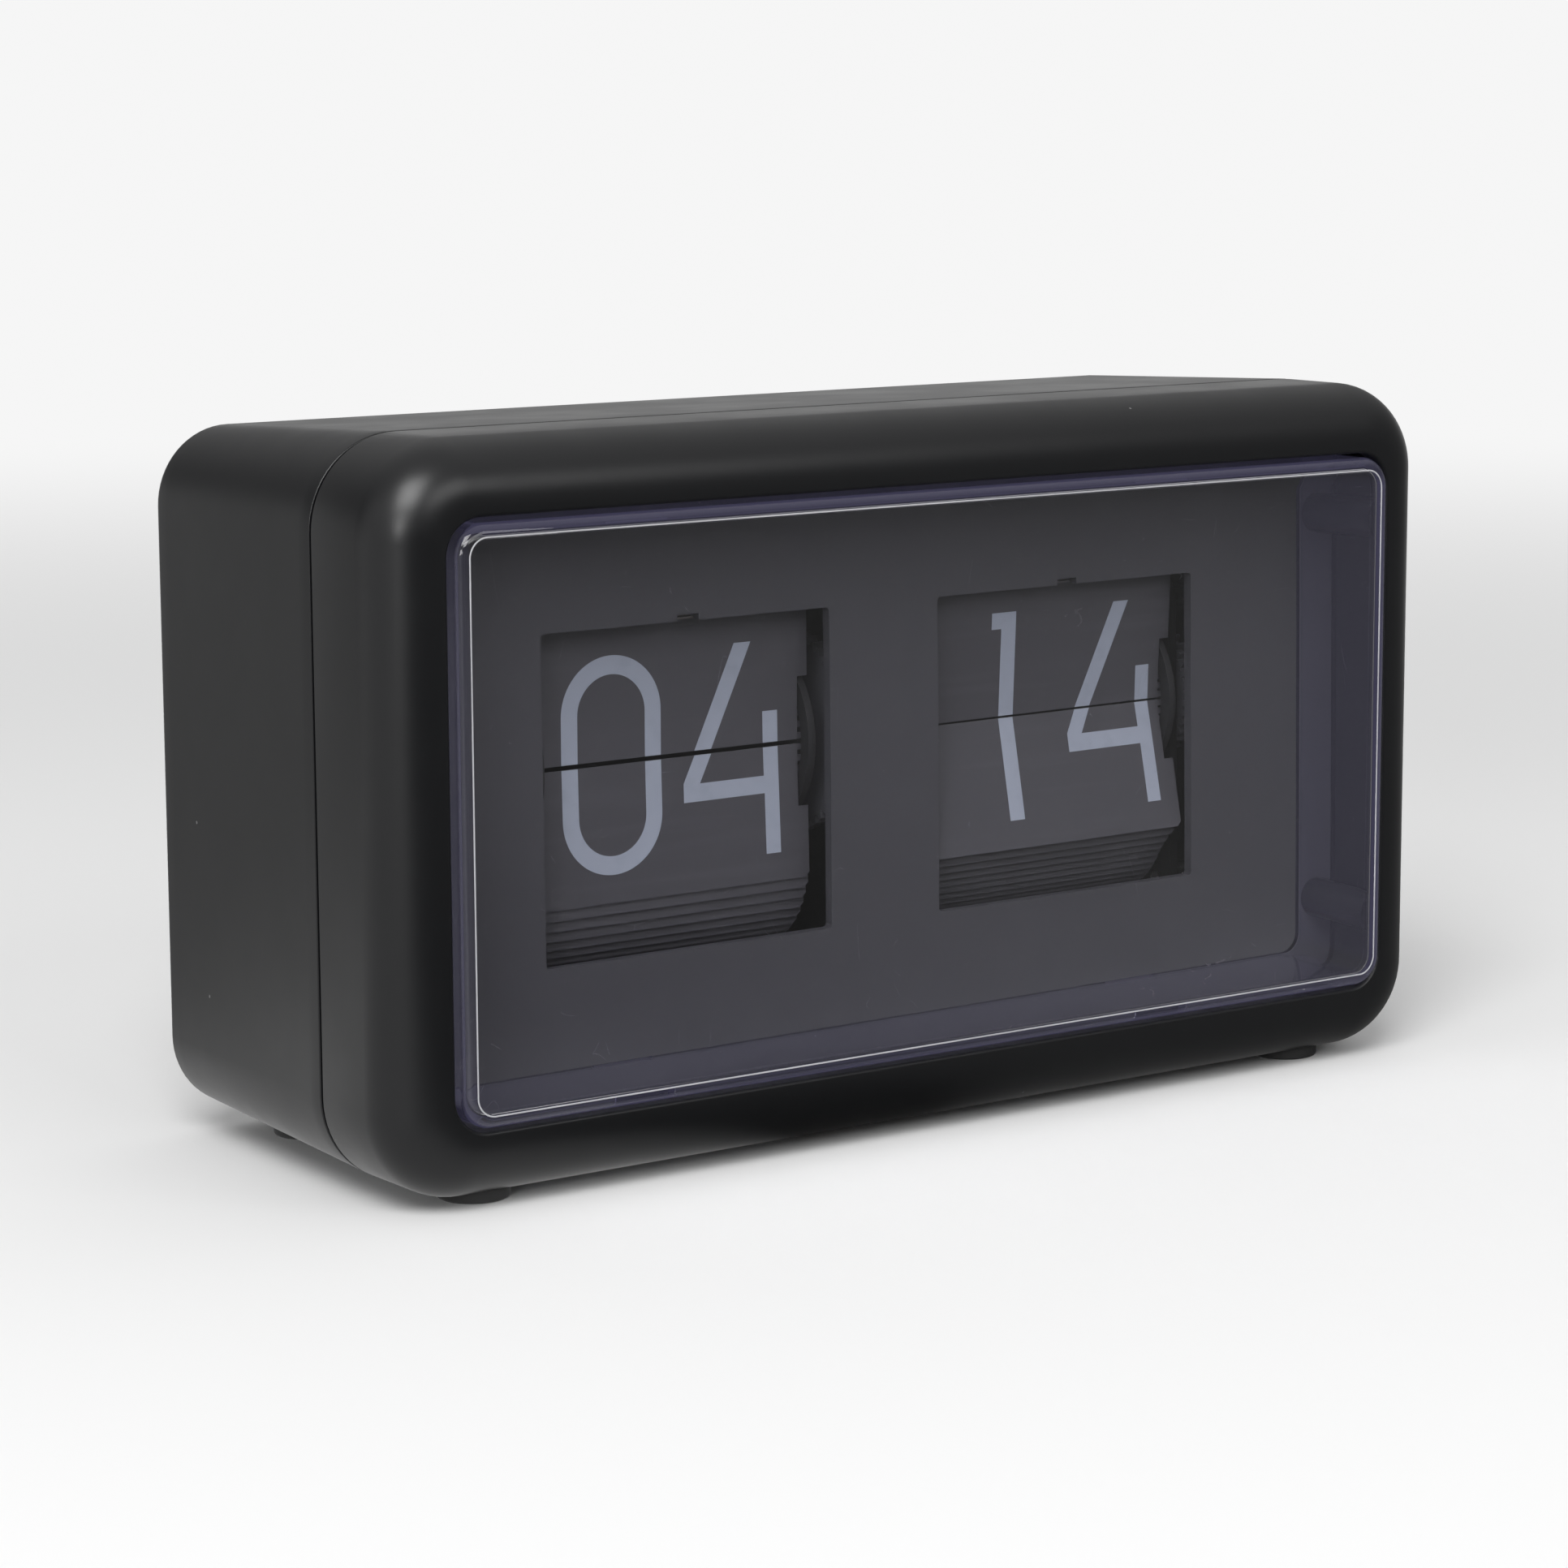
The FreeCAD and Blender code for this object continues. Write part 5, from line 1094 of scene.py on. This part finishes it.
@dataclass
class Numerals:
    """Tall narrow numerals printed on the leaves, cut at the split."""

    stroke: float = 2.65
    top: float = 15.1
    foot: float = -15.8
    belly_centre: tuple[float, float] = (8.75, -6.15)
    belly_radius: float = 8.325
    zero_centre: float = -9.7
    zero_radius: float = 6.875
    tens_shift: float = -20.0
    print_height: float = 0.025
    minute_x: float = 33.6
    hour_x: float = -33.6
    minute_tens_shift: tuple[float, float] = (1.05, 0.6)
    minute_units_shift: tuple[float, float] = (1.5, 0.6)

    def shift(self, face: LeafFace, tens: bool) -> tuple[float, float]:
        """How far a numeral is printed from its usual place: the minute card's are set right and high."""
        if face.drum_x != self.minute_x:
            return (0.0, 0.0)
        return self.minute_tens_shift if tens else self.minute_units_shift

    def outlines(self, glyph: Glyph, half: Half, tens: bool) -> list[np.ndarray]:
        """Closed outlines of half a numeral, in card coordinates.

        Args:
            glyph: The numeral.
            half: Upper or lower half.
            tens: Whether it stands in the left place of its card.

        Returns:
            One array (n, 2) per outline.
        """
        upper = half is Half.UPPER
        if glyph is Glyph.FOUR:
            if upper:
                return [np.array([(10.9, 15.1), (13.75, 15.1), (6.96, 0.0), (4.12, 0.0)]),
                        np.array([(15.75, 4.9), (18.3, 4.9), (18.37, 0.0), (15.83, 0.0)])]
            return [np.array([(4.12, 0.0), (6.96, 0.0), (4.95, -4.4), (15.9, -4.4), (15.83, 0.0),
                              (18.37, 0.0), (18.6, -15.74), (16.1, -15.74), (16.0, -6.93),
                              (2.2, -6.94), (2.2, -4.2)])]
        if glyph is Glyph.ONE:
            stem = [(-7.25, 0.0), (-9.95, 0.0)]
            if upper:
                return [np.array(stem + [(-9.95, 12.65), (-11.75, 12.65), (-11.75, 15.1), (-7.25, 15.1)])]
            return [np.array(stem + [(-9.95, self.foot), (-7.25, self.foot)])]
        if glyph is Glyph.ZERO:
            return [self.stripe(self.zero_line(half))]
        shift = self.tens_shift if tens else 0.0
        if upper:
            frame_line = np.array([(17.3, 13.75), (5.6, 13.75), (5.6, 2.2), (8.75, 2.2)])
            curve = self.five_curve(90.0, self.five_crossing(1))
            return [self.stripe(np.vstack([frame_line, curve[1:]]) + (shift, 0.0))]
        tail = np.array([(8.75, -14.475), (3.4, -14.475)])
        curve = self.five_curve(self.five_crossing(-1), -90.0)
        return [self.stripe(np.vstack([curve, tail[1:]]) + (shift, 0.0))]

    def zero_line(self, half: Half) -> np.ndarray:
        """Middle line of half a nought: a straight side, a half circle and the other side."""
        turn = arc(180.0, 0.0, 40)
        end = self.top - self.stroke / 2 if half is Half.UPPER else -(self.foot + self.stroke / 2)
        radius, middle = self.zero_radius, self.zero_centre
        bend = np.stack([middle + radius * np.cos(turn), end - radius + radius * np.sin(turn)], axis=-1)
        line = np.vstack([[(middle - radius, 0.0)], bend, [(middle + radius, 0.0)]])
        return line * (1.0, half.value)

    def five_crossing(self, side: int) -> float:
        """Angle in degrees at which the outer (1) or inner (-1) edge of a five's belly meets the split."""
        depth = -self.belly_centre[1] - self.minute_units_shift[1]
        return math.degrees(math.asin(depth / (self.belly_radius + side * self.stroke / 2)))

    def five_curve(self, start: float, end: float) -> np.ndarray:
        """Part of the round belly of a five: a circle about its middle."""
        turn = arc(start, end, 34)
        middle, radius = self.belly_centre, self.belly_radius
        return np.stack([middle[0] + radius * np.cos(turn), middle[1] + radius * np.sin(turn)], axis=-1)

    def stripe(self, line: np.ndarray) -> np.ndarray:
        """Outline of a stroke: the line moved half a stroke to each side along mitred normals."""
        step = np.diff(line, axis=0)
        step /= np.linalg.norm(step, axis=1, keepdims=True)
        normal = np.stack([-step[:, 1], step[:, 0]], axis=-1)
        joined = np.vstack([normal[:1], normal[:-1] + normal[1:], normal[-1:]])
        joined /= np.linalg.norm(joined, axis=1, keepdims=True)
        cosine = np.concatenate([[1.0], np.sum(joined[1:-1] * normal[1:], axis=1), [1.0]])
        offset = joined * (self.stroke / 2 / cosine)[:, None]
        return np.vstack([line + offset, (line - offset)[::-1]])

    def printed(self, name: str, face: LeafFace, glyphs: tuple[Glyph, Glyph]) -> bpy.types.Object:
        """Both numerals of a leaf face as one thin raised mesh.

        Args:
            name: Name of the piece.
            face: The face they are on.
            glyphs: The tens and the units.

        Returns:
            The object.
        """
        points, faces, count = [], [], 0
        for glyph, tens in zip(glyphs, (True, False)):
            for outline in self.outlines(glyph, face.half, tens):
                held = np.array(outline, float)
                across, rise = self.shift(face, tens)
                held[:, 1] += np.where(np.abs(held[:, 1]) > 0.01, rise, 0.0)
                held[:, 0] += across
                sign = face.half.value
                held[:, 1] = sign * np.maximum(sign * held[:, 1], face.edge())
                size = len(held)
                points += [face.place(held, 0.0), face.place(held, self.print_height)]
                ring = np.arange(size)
                faces += [(ring + count).tolist(), (ring + count + size).tolist()]
                faces += (np.stack([ring, np.roll(ring, -1), np.roll(ring, -1) + size, ring + size],
                                   axis=-1) + count).tolist()
                count += 2 * size
        return finished_object(name, np.vstack(points), faces, 20.0)

    def build(self) -> None:
        """Prints the shown time and the next number behind it."""
        ink = INK.build()
        jobs = [
            ("minute_upper", LeafFace(self.minute_x, 3.0, 86.0, Half.UPPER), (Glyph.ONE, Glyph.FOUR),
             Body.MINUTE_FLIP),
            ("minute_lower", LeafFace(self.minute_x, 357.0, 280.7, Half.LOWER), (Glyph.ONE, Glyph.FOUR),
             Body.CASE),
            ("minute_next_upper", LeafFace(self.minute_x, 9.0, 92.0, Half.UPPER), (Glyph.ONE, Glyph.FIVE),
             Body.CASE),
            ("minute_next_lower", LeafFace(self.minute_x, 3.0, 86.0, Half.LOWER, back=True),
             (Glyph.ONE, Glyph.FIVE), Body.MINUTE_FLIP),
            ("hour_upper", LeafFace(self.hour_x, 3.75, 89.0, Half.UPPER), (Glyph.ZERO, Glyph.FOUR),
             Body.HOUR_FLIP),
            ("hour_lower", LeafFace(self.hour_x, 356.25, 271.0, Half.LOWER), (Glyph.ZERO, Glyph.FOUR),
             Body.CASE),
            ("hour_next_upper", LeafFace(self.hour_x, 11.25, 96.5, Half.UPPER), (Glyph.ZERO, Glyph.FOUR),
             Body.CASE),
            ("hour_next_lower", LeafFace(self.hour_x, 3.75, 89.0, Half.LOWER, back=True),
             (Glyph.ZERO, Glyph.FOUR), Body.HOUR_FLIP),
        ]
        for name, face, glyphs, body in jobs:
            add_piece(self.printed(name, face, glyphs), body, ink)


# ================================================================ carried-over solids
@dataclass
class Works:
    """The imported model's own solids, which keep their shape and get their finishes."""

    replaced: tuple[str, ...] = ("front_bezel", "back_shell", "lens", "front_feet", "rear_feet")

    def build(self) -> None:
        """Gives every node that is still shown the finish of its slot."""
        slots = {part["node"]: Slot(part["material_slot"]) for part in frame["record"]["subparts"]}
        for name, piece in sorted(frame["nodes"].items()):
            if name in self.replaced:
                continue
            material = finish_of(slots[name])
            piece.data.materials.clear()
            piece.data.materials.append(material)
            LOG.info("%s: %s", name, material.name)


# ================================================================ studio
@dataclass
class Studio:
    """Pale floor, soft lights, surroundings and the camera."""

    camera_at: tuple[float, float, float] = (-0.37071, -0.51146, 0.14827)
    camera_way: tuple[float, float, float] = (0.574386, 0.802286, -0.162538)
    focal_length: float = 101.47
    shift: tuple[float, float] = (-0.00225, 0.0060)
    roll: float = -0.0042
    backdrop: float = 0.92

    def clear(self) -> None:
        """Removes whatever the startup file holds."""
        ours = set(frame["nodes"].values()) | set(frame["bodies"].values())
        for thing in list(bpy.data.objects):
            if thing not in ours:
                bpy.data.objects.remove(thing)

    def camera(self) -> None:
        """Places the camera."""
        data = bpy.data.cameras.new("camera")
        data.lens, data.sensor_width = self.focal_length, 36.0
        data.shift_x, data.shift_y = self.shift
        data.clip_start, data.clip_end = 0.02, 20.0
        camera = bpy.data.objects.new("camera", data)
        bpy.context.scene.collection.objects.link(camera)
        camera.location = self.camera_at
        camera.rotation_mode = "QUATERNION"
        camera.rotation_quaternion = (Vector(self.camera_way).to_track_quat("-Z", "Y")
                                      @ Quaternion((0.0, 0.0, 1.0), self.roll))
        bpy.context.scene.camera = camera

    def floor(self) -> None:
        """A plain pale floor that fades into the surroundings."""
        mesh = bpy.data.meshes.new("floor")
        reach = 6.0
        mesh.from_pydata([(-reach, -reach, 0), (reach, -reach, 0), (reach, reach, 0), (-reach, reach, 0)],
                         [], [(0, 1, 2, 3)])
        piece = bpy.data.objects.new("floor", mesh)
        bpy.context.scene.collection.objects.link(piece)
        material = bpy.data.materials.new("floor_pale")
        material.use_nodes = True
        tree = material.node_tree
        book = NodeBook(tree)
        shader = tree.nodes["Principled BSDF"]
        shader.inputs["Base Color"].default_value = (0.86, 0.86, 0.86, 1.0)
        shader.inputs["Roughness"].default_value = 0.9
        shader.inputs["Specular IOR Level"].default_value = 0.1
        place = book.add("ShaderNodeTexCoord").outputs["Object"]
        way = book.add("ShaderNodeVectorMath", operation="NORMALIZE", i0=place).outputs[0]
        away = book.add("ShaderNodeVectorMath", operation="LENGTH", i0=place).outputs["Value"]
        level = book.place(StudioLevel().group(), Direction=way).outputs["Level"]
        path = book.add("ShaderNodeLightPath")
        seen = book.add("ShaderNodeMix", data_type="FLOAT", i0=path.outputs["Is Camera Ray"], i2=level,
                        i3=self.backdrop).outputs[0]
        glow = book.add("ShaderNodeEmission", Strength=seen)
        far = book.math("MAXIMUM", book.ramp(away, 0.3, 1.2), path.outputs["Is Glossy Ray"])
        mix = book.add("ShaderNodeMixShader", i0=far)
        tree.links.new(shader.outputs[0], mix.inputs[1])
        tree.links.new(glow.outputs[0], mix.inputs[2])
        tree.links.new(mix.outputs[0], tree.nodes["Material Output"].inputs["Surface"])
        mesh.materials.append(material)

    def light(self, name: str, place: tuple[float, float, float], target: tuple[float, float, float],
              size: tuple[float, float], power: float) -> None:
        """One soft rectangular light aimed at a point."""
        data = bpy.data.lights.new(name, "AREA")
        data.shape, data.size, data.size_y, data.energy = "RECTANGLE", *size, power
        lamp = bpy.data.objects.new(name, data)
        bpy.context.scene.collection.objects.link(lamp)
        lamp.location = place
        lamp.rotation_mode = "QUATERNION"
        lamp.rotation_quaternion = (Vector(target) - Vector(place)).to_track_quat("-Z", "Y")

    def surroundings(self) -> None:
        """A studio bright behind and above and dim in front; the camera sees an even backdrop."""
        world = bpy.data.worlds.new("studio")
        bpy.context.scene.world = world
        world.use_nodes = True
        tree = world.node_tree
        book = NodeBook(tree)
        way = book.add("ShaderNodeTexCoord").outputs["Generated"]
        level = book.place(StudioLevel().group(), Direction=way).outputs["Level"]
        path = book.add("ShaderNodeLightPath").outputs["Is Camera Ray"]
        seen = book.add("ShaderNodeMix", data_type="FLOAT", i0=path, i2=level, i3=self.backdrop)
        tree.links.new(seen.outputs[0], tree.nodes["Background"].inputs["Strength"])
        tree.nodes["Background"].inputs["Color"].default_value = (1.0, 1.0, 1.0, 1.0)

    def build(self) -> None:
        """Sets up everything that isn't the clock."""
        self.camera()
        self.floor()
        self.surroundings()
        self.light("key", (-0.9, -0.9, 1.3), (0.0, 0.0, 0.05), (0.9, 0.9), 22.0)
        self.light("fill", (0.3, -1.5, 0.9), (0.0, 0.0, 0.05), (1.2, 0.6), 6.0)
        self.light("window", (-1.46, -1.24, 0.5), (0.0, 0.0, 0.05), (0.4, 0.45), 6.5)
        bpy.context.scene.view_settings.view_transform = "Standard"


def main() -> None:
    """Builds each part in order."""
    logging.basicConfig(level=logging.INFO, format="%(name)s %(message)s")
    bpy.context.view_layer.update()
    studio = Studio()
    studio.clear()
    studio.build()
    for part in (Works(), Case(), Lens(), Numerals()):
        LOG.info("building %s", type(part).__name__)
        part.build()


if __name__ == "__main__":
    main()
